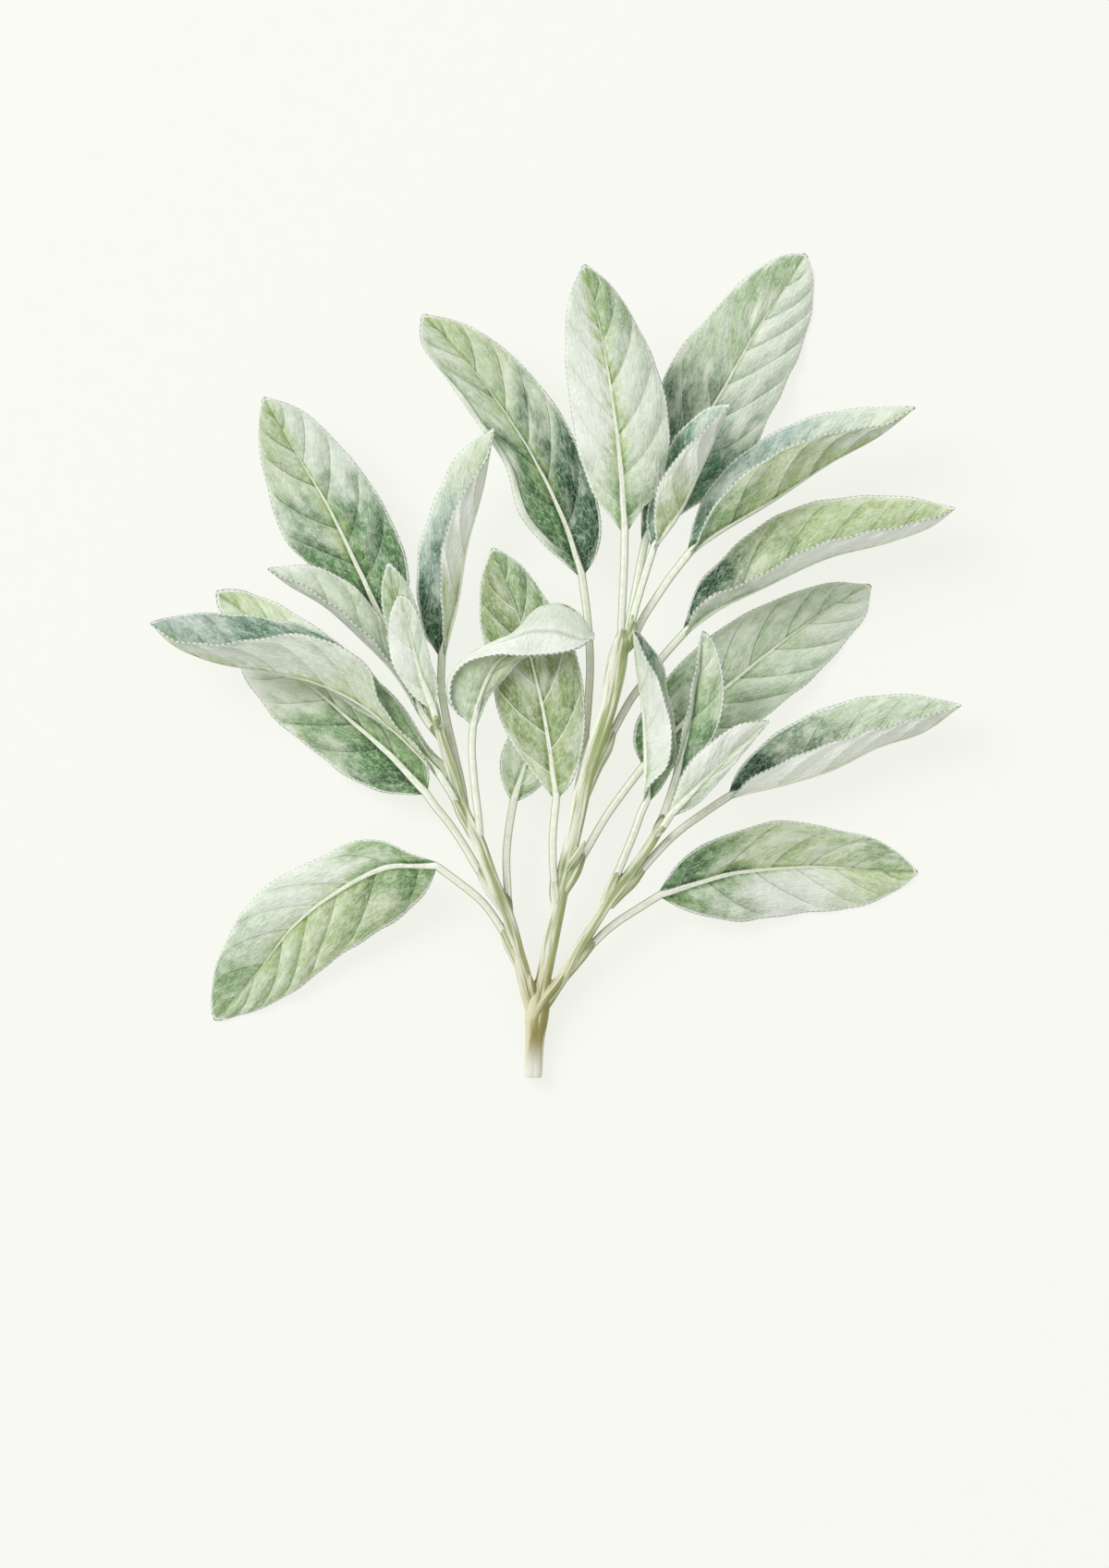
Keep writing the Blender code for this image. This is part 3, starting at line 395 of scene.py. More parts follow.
def grow_stem(collars, forks):
    """Joins the shoots and the stalks' collars in one skin."""
    joined = bmesh.new()
    for number, route in enumerate(SHOOTS):
        tail = route[-1] if number < TUBE_COUNT else (*route[-1][:3], STRAND_END_RADIUS)
        add_tube(joined, [*route[:-1], tail], 4 if number < SHOOT_COUNT else 0)
    for route in collars:
        add_tube(joined, route)
    stem = bpy.data.objects.new("sage_stem", bpy.data.meshes.new("sage_stem"))
    joined.to_mesh(stem.data)
    joined.free()
    bpy.context.scene.collection.objects.link(stem)
    skin = stem.modifiers.new("grown together", "REMESH")
    skin.mode = "VOXEL"
    skin.voxel_size = SKIN_GRAIN
    skin.use_smooth_shade = True
    soft = stem.modifiers.new("soft forks", "SMOOTH")
    soft.iterations = 4
    soft.factor = 0.5
    grown = bpy.data.meshes.new_from_object(stem.evaluated_get(bpy.context.evaluated_depsgraph_get()))
    stem.modifiers.clear()
    stem.data = grown

    places = np.zeros(3 * len(grown.vertices))
    grown.vertices.foreach_get("co", places)
    places[2::3] = np.maximum(places[2::3], LOWEST_STEM * MM)
    grown.vertices.foreach_set("co", places)
    store(grown, stem_facts(places.reshape(-1, 3) / MM + SPRIG_CENTRE, forks))
    grown.materials.append(dull_material("stem_skin", stem_skin, 0.00006, sheen=0.25))
    for polygon in grown.polygons:
        polygon.use_smooth = True
    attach(stem, "root")
    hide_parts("stem")


# The leaves. Each is one thin woolly sheet: a stalk that runs on as the rib, two halves that
# swell between sunken side veins, and a finely scalloped edge. It is made as a grid whose rows
# follow the side veins, bent along the leaf's lines, quilted, and then given its thickness.
STALK_HALF_WIDTH = 0.85
STALK_STEP, ROW_STEP = 0.9, 0.32
LINE_ROWS, HALF_COLUMNS, FOLDED_HALF_COLUMNS = 24, 20, 29
MOST_SWEEP, SWEEP_OF_WIDTH = 0.2, 1.1  # how far forward a row's ends reach
PILLOW = 0.07
FOLD_ROOM, NARROWEST_HALF = 1.3, 0.3
FOLD_AT, FOLD_ROUNDING = 0.46, 0.07
CURLED_TIP_SHARE = 0.6
TIP_HALF_WIDTH = 0.25
LOWEST_BLADE = 0.27
BLADE_THICKNESS, THICKEST = 0.42, 1.6
TOOTH_PITCH, TOOTH_DEPTH, INNER_SHARE = 1.25, 0.34, 0.4
VEIN_SPACING, VEIN_DEPTH = 9.4, 0.14
LEFT_VEIN_START, RIB_VEIN_START, RIGHT_VEIN_START = 0.5, 0.68, 0.86
VEIN_WANDER = 0.012
SWELL, NET_RELIEF, RUFFLE, RIM_HEIGHT = 0.42, 0.16, 0.28, 0.6
margins = []  # each leaf's edge places with their outward directions, for the hairs


def flat_sides(line):
    """Level directions across a line, to the left of someone who walks along it."""
    along = np.gradient(line, axis=0)
    return unit(np.stack([-along[:, 1], along[:, 0], np.zeros(len(line))], axis=1))


def turned(arms, axes, angles):
    """Arms turned around axes of length one by angles in radians, row by row."""
    cosine, sine = np.cos(angles)[:, None], np.sin(angles)[:, None]
    along = np.sum(arms * axes, axis=1, keepdims=True)
    return arms * cosine + np.cross(axes, arms) * sine + axes * along * (1.0 - cosine)


def open_fold(crease, upper, lower, upper_share):
    """Swings two sides of a crease apart where they would touch, the upper one by its share."""
    axes = unit(np.gradient(crease, axis=0))
    above, below = upper - crease, lower - crease
    sizes = [np.maximum(np.linalg.norm(arm, axis=1), NARROWEST_HALF) for arm in (above, below)]
    cosine = np.sum(above * below, axis=1) / (sizes[0] * sizes[1])
    angle = np.arccos(np.clip(cosine, -1.0, 1.0))
    lack = np.maximum(2.0 * np.arctan(FOLD_ROOM / np.minimum(*sizes)) - angle, 0.0)
    lack[np.minimum(*sizes) <= NARROWEST_HALF] = 0.0
    turn = np.sign(np.sum(np.cross(below, above) * axes, axis=1))
    turn[turn == 0.0] = 1.0
    return (crease + turned(above, axes, turn * lack * upper_share),
            crease + turned(below, axes, -turn * lack * (1.0 - upper_share)))


def blade_lines(leaf):
    """A blade's edges, crease and rib at even shares of their lengths, opened where they fold."""
    shares = np.linspace(0.0, 1.0, leaf.get("rows", LINE_ROWS))
    base, tip = leaf["rib"][0], leaf["rib"][-1]
    names = ["left", "fold", "right"] if "fold" in leaf else ["left", "right"]
    lines = {name: smooth_line([base, *leaf[name], tip], shares) for name in names}
    lines["rib"] = smooth_line(leaf["rib"], shares)
    inner = "fold" if "fold" in leaf else "left"
    lines[inner], lines["right"] = open_fold(lines["rib"], lines[inner], lines["right"], 0.5)
    if "fold" in leaf:
        lines["left"], _ = open_fold(lines["fold"], lines["left"], lines["rib"], 1.0)
        for name in names:
            lines[name][-1] += CURLED_TIP_SHARE * (lines[name][-2] - lines["rib"][-2])
    return lines


def between_rows(line, shares):
    """Places at shares of a line that is given by even rows, on a smooth curve through them."""
    at = np.clip(shares, 0.0, 1.0) * (len(line) - 1)
    i = np.minimum(at.astype(int), len(line) - 2)
    return curve(line, np.gradient(line, axis=0), i, (at - i)[..., None])


def smooth_step(values, start, end):
    """Values mapped smoothly to 0 at the start and 1 at the end."""
    t = np.clip((values - start) / (end - start), 0.0, 1.0)
    return t * t * (3.0 - 2.0 * t)


def half_columns(leaf):
    """Shares of a half's width from the rib to its edge, closest together at both."""
    even = np.linspace(0.0, 1.0, FOLDED_HALF_COLUMNS if "fold" in leaf else HALF_COLUMNS)
    return 0.55 * even + 0.225 * (1.0 - np.cos(np.pi * even))


def rise(arms, out):
    """How high a half stands above a straight line across it, at shares of its width."""
    return PILLOW * np.linalg.norm(arms, axis=2) * (4.0 * out * (1.0 - out))


def blade_sheet(leaf, lines):
    """The blade's middle surface as rows that follow its side veins, and each point's share."""
    length = line_length(lines["rib"])
    inner = lines.get("fold", lines["left"])
    width = np.linalg.norm(inner - lines["rib"], axis=1).max()
    width = 0.5 * (width + np.linalg.norm(lines["right"] - lines["rib"], axis=1).max())
    sweep = min(MOST_SWEEP, SWEEP_OF_WIDTH * width / length)
    even = np.linspace(0.0, 1.0, round(length / ROW_STEP) + 1)
    start = ((1.0 + 2.0 * sweep) - np.sqrt((1.0 + 2.0 * sweep) ** 2 - 8.0 * sweep * even)) / (4.0 * sweep)
    columns = half_columns(leaf)
    across = np.concatenate([columns[::-1], -columns[1:]])
    out = np.abs(across)
    forward = 4.0 * sweep * start * (1.0 - start)
    shares = start[:, None] + forward[:, None] * (out * (0.6 + 0.4 * out))

    rib = between_rows(lines["rib"], shares)
    left, right = between_rows(lines["left"], shares), between_rows(lines["right"], shares)
    if "fold" in leaf:
        crease = between_rows(lines["fold"], shares)
        room = np.minimum(1.0, np.minimum(out, 1.0 - out) / FOLD_ROUNDING)
        near = [out + room * step for step in np.linspace(-FOLD_ROUNDING, FOLD_ROUNDING, 9)]
        first = np.mean([np.clip(a / FOLD_AT, 0, 1) for a in near], axis=0)
        second = np.mean([np.clip((a - FOLD_AT) / (1 - FOLD_AT), 0, 1) for a in near], axis=0)
        left_rise = rise(crease - rib, first) + rise(left - crease, second)
        left = rib + (crease - rib) * first[:, None] + (left - crease) * second[:, None]
    else:
        left_rise = rise(left - rib, out)
        left = rib + (left - rib) * out[:, None]
    right_rise = rise(right - rib, out)
    right = rib + (right - rib) * out[:, None]
    on_left = across > 0.0
    places = np.where(on_left[:, None], left, right)
    places[..., 2] += np.where(on_left, left_rise, right_rise)

    sides = between_rows(flat_sides(lines["rib"]), shares)
    places += STALK_HALF_WIDTH * ((1.0 - shares) ** 4 * across)[..., None] * sides
    if "fold" not in leaf:
        tip = lines["left"][-2] - lines["right"][-2]
        tip *= TIP_HALF_WIDTH / np.linalg.norm(tip)
        places += (shares**8 * across)[..., None] * tip
    return places, shares, across, length


def scallop(places, edge, inner, shares):
    """Pushes one edge in and out as small round teeth. Gives its directions and count of teeth."""
    outward = unit(places[:, edge] - places[:, inner], 0.05)
    teeth = run_along(places[:, edge]) / TOOTH_PITCH
    push = TOOTH_DEPTH * (np.abs(np.sin(np.pi * teeth)) ** 0.6 - 0.6)
    push *= smooth_step(shares[:, edge], 0.03, 0.1) * (1.0 - smooth_step(shares[:, edge], 0.96, 0.995))
    places[:, edge] += outward * push[:, None]
    places[:, inner] += outward * INNER_SHARE * push[:, None]
    return outward, teeth


def vein_numbers(shares, across, rib_column, pairs, seed):
    """Which side vein each point is on, counted along the rib, with what is between veins as
    parts of one. Veins run forward, and most so at the edge."""
    reach = (0.86 - 0.5 * shares) * np.abs(across)
    start = 1.0 - (1.0 - np.minimum(shares, 1.0)) ** (1.0 - reach)
    start += VEIN_WANDER * np.sin(2.0 * np.pi * (1.9 * start + 0.37 * seed))
    vein = pairs * start + np.where(across > 0.0, LEFT_VEIN_START, RIGHT_VEIN_START)
    vein[:, rib_column] = pairs * start[:, rib_column] + RIB_VEIN_START
    return vein


def net_relief(places):
    """Small cells whose borders are low."""
    cells = np.zeros(places.shape[:2])
    for row, column in np.ndindex(cells.shape):
        near = noise.voronoi(Vector(places[row, column] / 1.5))[0]
        cells[row, column] = min(near[1] - near[0], 0.5)
    return NET_RELIEF * (cells - 0.2)


def turned_up_rim(from_edge, shares, width):
    """A bead along an edge with a groove inside it, for a rim of the given width."""
    bead = np.exp(-(((from_edge - 0.5 * width) / (0.4 * width)) ** 2))
    bead -= 0.5 * np.exp(-(((from_edge - 1.2 * width) / (0.25 * width)) ** 2))
    return RIM_HEIGHT * bead * smooth_step(shares, 0.06, 0.2) * (1.0 - smooth_step(shares, 0.8, 0.95))


def leaf_sheet(leaf, seed):
    """The whole leaf's middle surface in millimetres, with what its skin needs at each point."""
    lines = blade_lines(leaf)
    places, shares, across, length = blade_sheet(leaf, lines)
    rib_column = len(half_columns(leaf)) - 1
    run = np.cumsum(np.linalg.norm(np.diff(places, axis=1), axis=2), axis=1)
    run = np.concatenate([np.zeros((len(places), 1)), run], axis=1)
    from_rib = np.abs(run - run[:, rib_column, None])
    on_left = np.arange(len(across)) <= rib_column
    from_edge = np.where(on_left, run, run[:, -1:] - run)

    pairs = max(3, round(length / VEIN_SPACING))
    vein = vein_numbers(shares, across, rib_column, pairs, seed)
    from_vein = np.abs((vein + 0.5) % 1.0 - 0.5) * 0.62 * length / pairs

    normal = unit(np.cross(np.gradient(places, axis=1), np.gradient(places, axis=0)), 1e-9)
    room = smooth_step(from_rib, 0.2, 2.2) * smooth_step(from_edge, 0.1, 3.0)
    swell = SWELL * (1.0 - np.exp(-((from_vein / 2.2) ** 2))) - VEIN_DEPTH * np.exp(-((from_vein / 0.4) ** 2))
    ruffle = RUFFLE * np.sin(2.0 * np.pi * shares * length / 9.0 + seed) * np.abs(across) ** 3
    ruffle *= smooth_step(from_rib, 1.0, 5.0)
    height = room * (swell + net_relief(places)) + ruffle
    if "rim" in leaf:
        height += turned_up_rim(from_edge, shares, leaf["rim"]) * on_left
    places += height[..., None] * normal
    edges = [(edge, *scallop(places, edge, inner, shares)) for edge, inner in ((0, 1), (-1, -2))]
    places[..., 2] = np.maximum(places[..., 2], LOWEST_BLADE)

    stalk_line = [*leaf["stalk"], leaf["rib"][0]]
    count = max(3, round(line_length(stalk_line) / STALK_STEP))
    stalk = smooth_line(stalk_line, np.linspace(0.0, 1.0, count + 1)[:-1])
    sides = flat_sides(np.vstack([stalk, [leaf["rib"][0]]]))[:-1]
    stalk_places = stalk[:, None] + STALK_HALF_WIDTH * sides[:, None] * across[None, :, None]
    for edge, outward, _ in edges:
        margins.append((places[:, edge].copy(), outward))

    def with_stalk(values, at_stalk):
        return np.concatenate([np.broadcast_to(at_stalk, (count, len(across))), values])

    facts = {
        "share": with_stalk(shares, 0.0),
        "side": with_stalk(np.broadcast_to(across, shares.shape), across),
        "vein": with_stalk(vein + 20 * seed, vein[0] + 20 * seed),
        "from_rib": with_stalk(from_rib, STALK_HALF_WIDTH * np.abs(across)),
        "from_edge": with_stalk(from_edge, 9.0),
        "tooth": with_stalk(np.where(on_left, edges[0][2][:, None], edges[1][2][:, None]), 0.0),
    }
    places = np.concatenate([stalk_places, places])
    places[..., 2] = np.maximum(places[..., 2], 0.5 * sheet_thickness(facts) + 0.05)
    return places, facts


def sheet_thickness(facts):
    """Thickness at each point: a round stalk that runs on as a thinning rib, and a thin blade."""
    left = np.maximum(1.0 - facts["share"], 0.0)
    rib_half_width = 0.7 * left**0.8 + 0.24
    rib_height = 1.3 * left**1.1 + 0.15
    rib = rib_height * np.sqrt(np.maximum(0.0, 1.0 - (facts["from_rib"] / rib_half_width) ** 2))
    blade = BLADE_THICKNESS * (1.0 - 0.3 * np.exp(-facts["from_edge"] / 0.5))
    return (rib**3 + blade**3) ** (1.0 / 3.0)


# The leaf's skin: green with a cream rib and a white woolly edge, side veins lighter or darker than the rest,
# long pale and deep washes that run along the veins, a fine net between them, and a frosting of short hairs.
# Light and shade are painted into it as well: a painted shade past each side vein and in the dark veins, a
# painted highlight on the swollen fields, and painted shade beside the rib, down the stalk's sides, in the
# folds and along the edge.
sage_skin = bpy.data.node_groups.new("sage_skin", "ShaderNodeTree")
HALVES = ("Left", "Right")
TONE_INPUTS = [f"{half} {place}" for half in HALVES for place in ("Base", "Middle", "Tip")]
NUMBER_INPUTS = ["Left Veins", "Right Veins", "Deep Until", "Wool And Highlight", "Rolled", "Glow", "Rim"]
for title in TONE_INPUTS:
    sage_skin.interface.new_socket(title, in_out="INPUT", socket_type="NodeSocketColor")
for title in NUMBER_INPUTS:
    sage_skin.interface.new_socket(title, in_out="INPUT", socket_type="NodeSocketFloat")
sage_skin.interface.new_socket("Colour", in_out="OUTPUT", socket_type="NodeSocketColor")
sage_skin.interface.new_socket("Height", in_out="OUTPUT", socket_type="NodeSocketFloat")
STALK_CREAM, STALK_SIDE_SHADE, RIB_GREEN = paint(242, 244, 230), paint(150, 170, 118), paint(204, 216, 168)
ROLL_SHADED_GREEN, ROLL_SHADE = paint(186, 202, 176), paint(128, 152, 112)
WOOL_WHITE, VEIN_PALE, YOUNG_GREEN = paint(240, 243, 236), paint(232, 237, 220), paint(166, 192, 112)
VEIN_GROOVE_SHADE, RIM_CREASE_SHADE, EDGE_SHADE = paint(118, 142, 110), paint(120, 146, 120), paint(120, 138, 112)


def strokes(vein, out, side, per_vein, per_mm, detail):
    """A noise value in long streaks that run along the side veins."""
    return strands(vein * per_vein, out * per_mm, side * 7.3, detail)


def from_whole(value):
    """How far a value is from the nearest whole number."""
    return abs(maths("FRACT", value + 0.5) - 0.5)


def build_sage_skin(tree):
    """Fills in the skin's node group."""
    given = {socket.name: Value(socket) for socket in tree.nodes.new("NodeGroupInput").outputs}
    blade = node(tree, "ShaderNodeUVMap", "UV", {}, uv_map="blade")
    along, side = (node(tree, "ShaderNodeSeparateXYZ", axis, {"Vector": blade}) for axis in "XY")
    on_left = maths("GREATER_THAN", side, 0.5)
    vein, from_rib, from_edge, tooth = facts_of(tree, "vein", "from_rib", "from_edge", "tooth")
    broad = strokes(vein, from_rib, on_left, 1.1, 0.17, 2.0)
    fine = strokes(vein, from_rib, on_left, 5.0, 0.5, 3.0)
    dabs = grain(tree, 0.0022, 3.0)

    # washes: each half's three tones, with dabs, a fine hatching, young green and white flecks
    # Painted light in the tones: the half that faces the light from the upper left is given paler tones than
    # the other, and the deep tone at the foot is in part a painted shade from the leaves that lie over it.
    uneven = (broad + grain(tree, 0.006, 3.0)) * 0.4 + (along - 0.4)
    grown = ease(uneven, given["Deep Until"] - 0.22, given["Deep Until"] + 0.16)
    ripe = ease(uneven, 0.55, 0.9)
    left, right = (blend(ripe, blend(grown, given[f"{half} Base"], given[f"{half} Middle"]),
                         given[f"{half} Tip"]) for half in HALVES)
    body = blend(on_left, right, left)
    body = deeper(ease(fine + dabs, 0.85, 1.25, 0.0, 0.34), body)
    body = blend(ease(fine + dabs, 0.75, 1.0, 0.26, 0.0), body, VEIN_PALE)
    hatch = strokes(vein, from_rib, on_left, 15.0, 1.5, 2.0)
    body = deeper(ease(hatch, 0.52, 0.7, 0.0, 0.4), body)
    body = blend(ease(hatch, 0.3, 0.46, 0.32, 0.0), body, VEIN_PALE)
    beside_rib = ease(from_rib, 0.6, 4.5, 1.0, 0.0) * ease(along, 0.1, 0.35) * ease(fine + broad, 0.8, 1.15)
    body = blend(beside_rib * given["Glow"], body, YOUNG_GREEN)
    flecks = ease(grain(tree, 0.0011, 3.0), 0.55, 0.72, 0.0, 0.35) * (grown * 0.8 + 0.2)
    body = blend(flecks, body, WOOL_WHITE)

    # the swollen fields between veins: a painted shade just past each vein, and a painted highlight on the
    # far part of each field, where it faces the light, joined with pale woolly patches
    strength = node(tree, "ShaderNodeMix", 0, {0: on_left, 2: given["Right Veins"], 3: given["Left Veins"]},
                    data_type="FLOAT")
    vein_shade_strength = maths("MINIMUM", abs(strength) * 1.2, 0.75)
    beyond = maths("FRACT", vein)
    shade = (1.0 - beyond) ** 2.6
    body = deeper(shade * ease(from_edge, 0.6, 3.4) * vein_shade_strength, body)
    # Painted highlight on each field's lit side, mixed with pale woolly patches.
    painted_highlight = ease(beyond, 0.45, 0.95) * ease(broad, 0.4, 0.6)
    highlight_and_wool = maths("MAXIMUM", painted_highlight * 0.7, ease(broad, 0.5, 0.7)) * (grown * 0.65 + 0.35)
    body = blend(highlight_and_wool * given["Wool And Highlight"], body, VEIN_PALE)

    # a rolled flap: a grey-green band where it curls back, its pale underside dimmed as a painted shade, and
    # a painted shade line along the crease beside it
    past_line = abs(side * 2.0 - 1.0) - (along * 0.6 + 0.32)
    rolled = given["Rolled"] * on_left * ease(along, 0.42, 0.55)
    body = blend(rolled * ease(past_line, -0.16, 0.02, 0.8, 0.0), body, ROLL_SHADED_GREEN)
    body = blend(rolled * ease(abs(past_line), 0.0, 0.04, 0.6, 0.0), body, ROLL_SHADE)

    # side veins, pale where their strength is above zero, and below it darkened as a painted shade in their
    # sunken grooves; and the net
    on_vein = ease(from_whole(vein), 0.0, 0.04, 1.0, 0.0) * ease(from_edge, 0.8, 4.0)
    body = blend(on_vein * maths("MAXIMUM", strength, 0.0), body, VEIN_PALE)
    body = deeper(on_vein * maths("MAXIMUM", strength * -1.0, 0.0), body, VEIN_GROOVE_SHADE)
    cells = {"Vector": place_of(vein * 4.5, from_rib * 0.75, on_left * 7.0), "Scale": 1.0}
    net = node(tree, "ShaderNodeTexVoronoi", "Distance", cells, feature="DISTANCE_TO_EDGE")
    body = blend(ease(net, 0.0, 0.1, 0.32, 0.0), body, blend(0.5, body, WOOL_WHITE))

    # the rib and stalk: cream, with painted olive shade down their round sides, and a painted shade on the
    # blade on each side of the rib
    unripe = 1.0 - along
    within = from_rib / (unripe ** 1.4 * 0.68 + 0.22)
    body = deeper(ease(within, 1.0, 2.8, 0.75, 0.0), body)
    round_side_shade = ease(within, 0.55, 1.0) * ease(along, 0.0, 0.12, 1.0, 0.4)
    rib_skin = blend(round_side_shade, STALK_CREAM, STALK_SIDE_SHADE)
    rib_skin = blend(ease(grain(tree, 0.0012), 0.4, 0.75, 0.0, 0.4), rib_skin, RIB_GREEN)
    on_rib = ease(within, 0.75, 1.05, 1.0, 0.0) * ease(unripe, 0.05, 0.5, 0.3, 1.0)
    body = blend(on_rib, body, rib_skin)

    # the edge: a pale turned-up rim where asked, with a painted shade line in the crease inside it, wool, and
    # a thin painted shade along the very edge, deepest in the notches between teeth
    fluff = grain(tree, 0.00035, 2.0)
    rim = given["Rim"] * on_left * ease(unripe, 0.1, 0.35)
    past_rim = from_edge - rim
    rimmed = ease(rim, 0.3, 1.0) * ease(along, 0.05, 0.2)
    body = blend(rimmed * ease(past_rim, -0.3, 0.1, 0.8, 0.0), body, VEIN_PALE)
    body = deeper(rimmed * ease(abs(past_rim), 0.0, 0.35, 0.8, 0.0), body, RIM_CREASE_SHADE)
    past_foot = ease(along, 0.012, 0.07)
    reach = fluff * 0.7 + 0.45
    body = blend(ease(from_edge, reach * 0.6, reach, 0.9, 0.0) * past_foot, body, WOOL_WHITE)
    notch_shade = ease(from_whole(tooth), 0.05, 0.32, 1.0, 0.3)
    body = deeper(notch_shade * ease(from_edge, 0.12, 0.5, 0.9, 0.0) * past_foot, body, EDGE_SHADE)
    body = blend(ease(fluff, 0.5, 0.75, 0.0, 0.16), body, WOOL_WHITE)

    out = tree.nodes.new("NodeGroupOutput").inputs
    tree.links.new(body.socket, out["Colour"])
    tree.links.new((ease(net, 0.0, 0.25) * 0.5 + fluff * 0.35).socket, out["Height"])


build_sage_skin(sage_skin)
TONES = {
    "pine": (46, 98, 62), "fern": (86, 134, 74), "teal": (84, 134, 102), "leaf": (138, 170, 114),
    "moss": (150, 172, 112), "sage": (168, 192, 148), "lime": (190, 206, 160), "mint": (199, 214, 187),
    "slate": (170, 190, 178), "frost": (217, 227, 211), "milk": (232, 236, 226), "snow": (246, 249, 240),
}
WOOLLY = ("mint", "frost", "frost")  # the tones of an underside


def skin_material(name, tones, *numbers):
    """A leaf's skin: tones are its left half's base, middle and tip colours, then its right's."""
    values = [paint(*TONES[tone]) for tone in tones] + list(numbers)

    def skin_of(tree):
        skin = tree.nodes.new("ShaderNodeGroup")
        skin.node_tree = sage_skin
        for title, value in zip(TONE_INPUTS + NUMBER_INPUTS, values):
            skin.inputs[title].default_value = value
        return Value(skin.outputs["Colour"]), Value(skin.outputs["Height"])

    return dull_material(name, skin_of, 0.00025)


underside = skin_material("woolly_underside", WOOLLY * 2, 0.5, 0.5, 0.4, 0.5, 0.0, 0.0, 0.0)


def lay_leaf(name, slot, tones, veins=(0.4, 0.4), deep_until=0.3, near=None, wool=0.5, rolled=0.0,
             glow=0.2, **leaf):
    """Makes one leaf from its lines in millimetres. Its tones are as seen from above, three for each half,
    with light and shade painted into them: a half turned to the light is given paler tones, a folded half
    turned away from it is given paler tones to make up for its shade, and the deep tone at the foot is in
    part a painted shade from the leaves over it. Wool sets how strong the pale woolly patches and painted
    highlights are. Near is a half that is folded over, so that it shows its underside."""
    places, facts = leaf_sheet(leaf, sum(map(ord, name)) % 17)
    mesh, row, column = bent_grid(name + "_skin", to_world(places))
    for polygon in mesh.polygons:
        polygon.use_smooth = True
    corners = np.zeros(len(mesh.loops), dtype=int)
    mesh.loops.foreach_get("vertex_index", corners)
    spread = np.stack([facts["share"], 0.5 + 0.5 * facts["side"]], axis=2)[row, column][corners]
    mesh.uv_layers.new(name="blade").uv.foreach_set("vector", spread.ravel())
    store(mesh, {title: facts[title][row, column] for title in ("vein", "from_rib", "from_edge", "tooth")})
    piece = bpy.data.objects.new(name + "_skin", mesh)
    bpy.context.scene.collection.objects.link(piece)
    depth = piece.vertex_groups.new(name="thickness")
    for index, thickness in enumerate(sheet_thickness(facts)[row, column]):
        depth.add([index], float(thickness) / THICKEST, "REPLACE")
    solid = piece.modifiers.new("thickness", "SOLIDIFY")
    solid.thickness = THICKEST * MM
    solid.offset = 0.0
    solid.vertex_group = "thickness"
    solid.material_offset = 1
    solid.material_offset_rim = 1

    over, below = tones, underside
    if near:
        left, right = tones[:3], tones[3:]
        over = right * 2 if near == "left" else left * 2
        under = (*left, *WOOLLY) if near == "left" else (*WOOLLY, *right)
        below = skin_material(name + "_wool", under, *veins, deep_until, 0.4, rolled, glow, 0.0)
    mesh.materials.append(skin_material(
        name + "_green", over, *veins, deep_until, wool, 0.0, glow, leaf.get("rim", 0.0)))
    mesh.materials.append(below)
    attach(piece, "root")
    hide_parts(name)
    STALK_FEET.append(np.array(leaf["stalk"][:2], dtype=float))


# The lowest pair: two open leaves whose blades droop to the table on each side of the foot,
# each on a long bent stalk.
lay_leaf(
    "leaf_low_left", "sage_leaf", ("leaf", "lime", "sage", "leaf", "frost", "leaf"), veins=(-0.6, -0.5),
    deep_until=0.28, glow=0.5,
    stalk=[(-9.9, 29.6, 7), (-11.4, 32.4, 7.8), (-13, 35, 8.4), (-15.2, 37.9, 9), (-17.4, 40, 9.6),
        (-20.6, 42.5, 10)],
    rib=[(-25.6, 46.2, 10.5), (-36, 46, 9.5), (-46, 41.2, 7.5), (-56, 33.6, 4.5), (-64, 23.5, 1.5),
        (-73.6, 12.8, 0.3)],
    left=[(-27, 42.6, 9.5), (-32, 36.6, 7), (-40, 31, 5.5), (-47.6, 26, 4), (-55, 20, 2.5), (-64, 15.2, 0.8),
        (-70, 13.4, 0.3)],
    right=[(-32, 48.6, 10.5), (-37, 51.2, 9.5), (-44, 51, 8), (-51, 47.6, 6.5), (-59, 44, 5),
        (-66.4, 37.6, 3.5), (-70.6, 30.6, 2), (-73.4, 23.6, 0.8), (-74.2, 17.6, 0.3)])
lay_leaf(
    "leaf_right_lowest", "sage_leaf", ("fern", "lime", "leaf", "leaf", "milk", "lime"), veins=(-0.6, -0.5),
    deep_until=0.3, glow=0.4,
    stalk=[(6.4, 27.4, 6), (8.3, 29.3, 6.3), (10.5, 31.5, 6.6), (13.6, 34, 6.8), (18.2, 37, 7)],
    rib=[(23, 40, 7), (40, 44.8, 4.5), (48, 45.6, 3), (56, 46, 1.3), (72, 45, 0.3), (78.6, 44.8, 0.3)],
    left=[(26, 45, 7.3), (30.2, 49.2, 7), (40, 53.6, 5), (48, 55.8, 3.5), (60, 54.2, 1), (72, 50.6, 0.3)],
    right=[(27, 37.6, 6), (33, 35.6, 5), (40, 34.4, 3.5), (47, 35.2, 2), (55, 36.2, 0.7), (65, 37.2, 0.3),
        (74, 41, 0.3)])

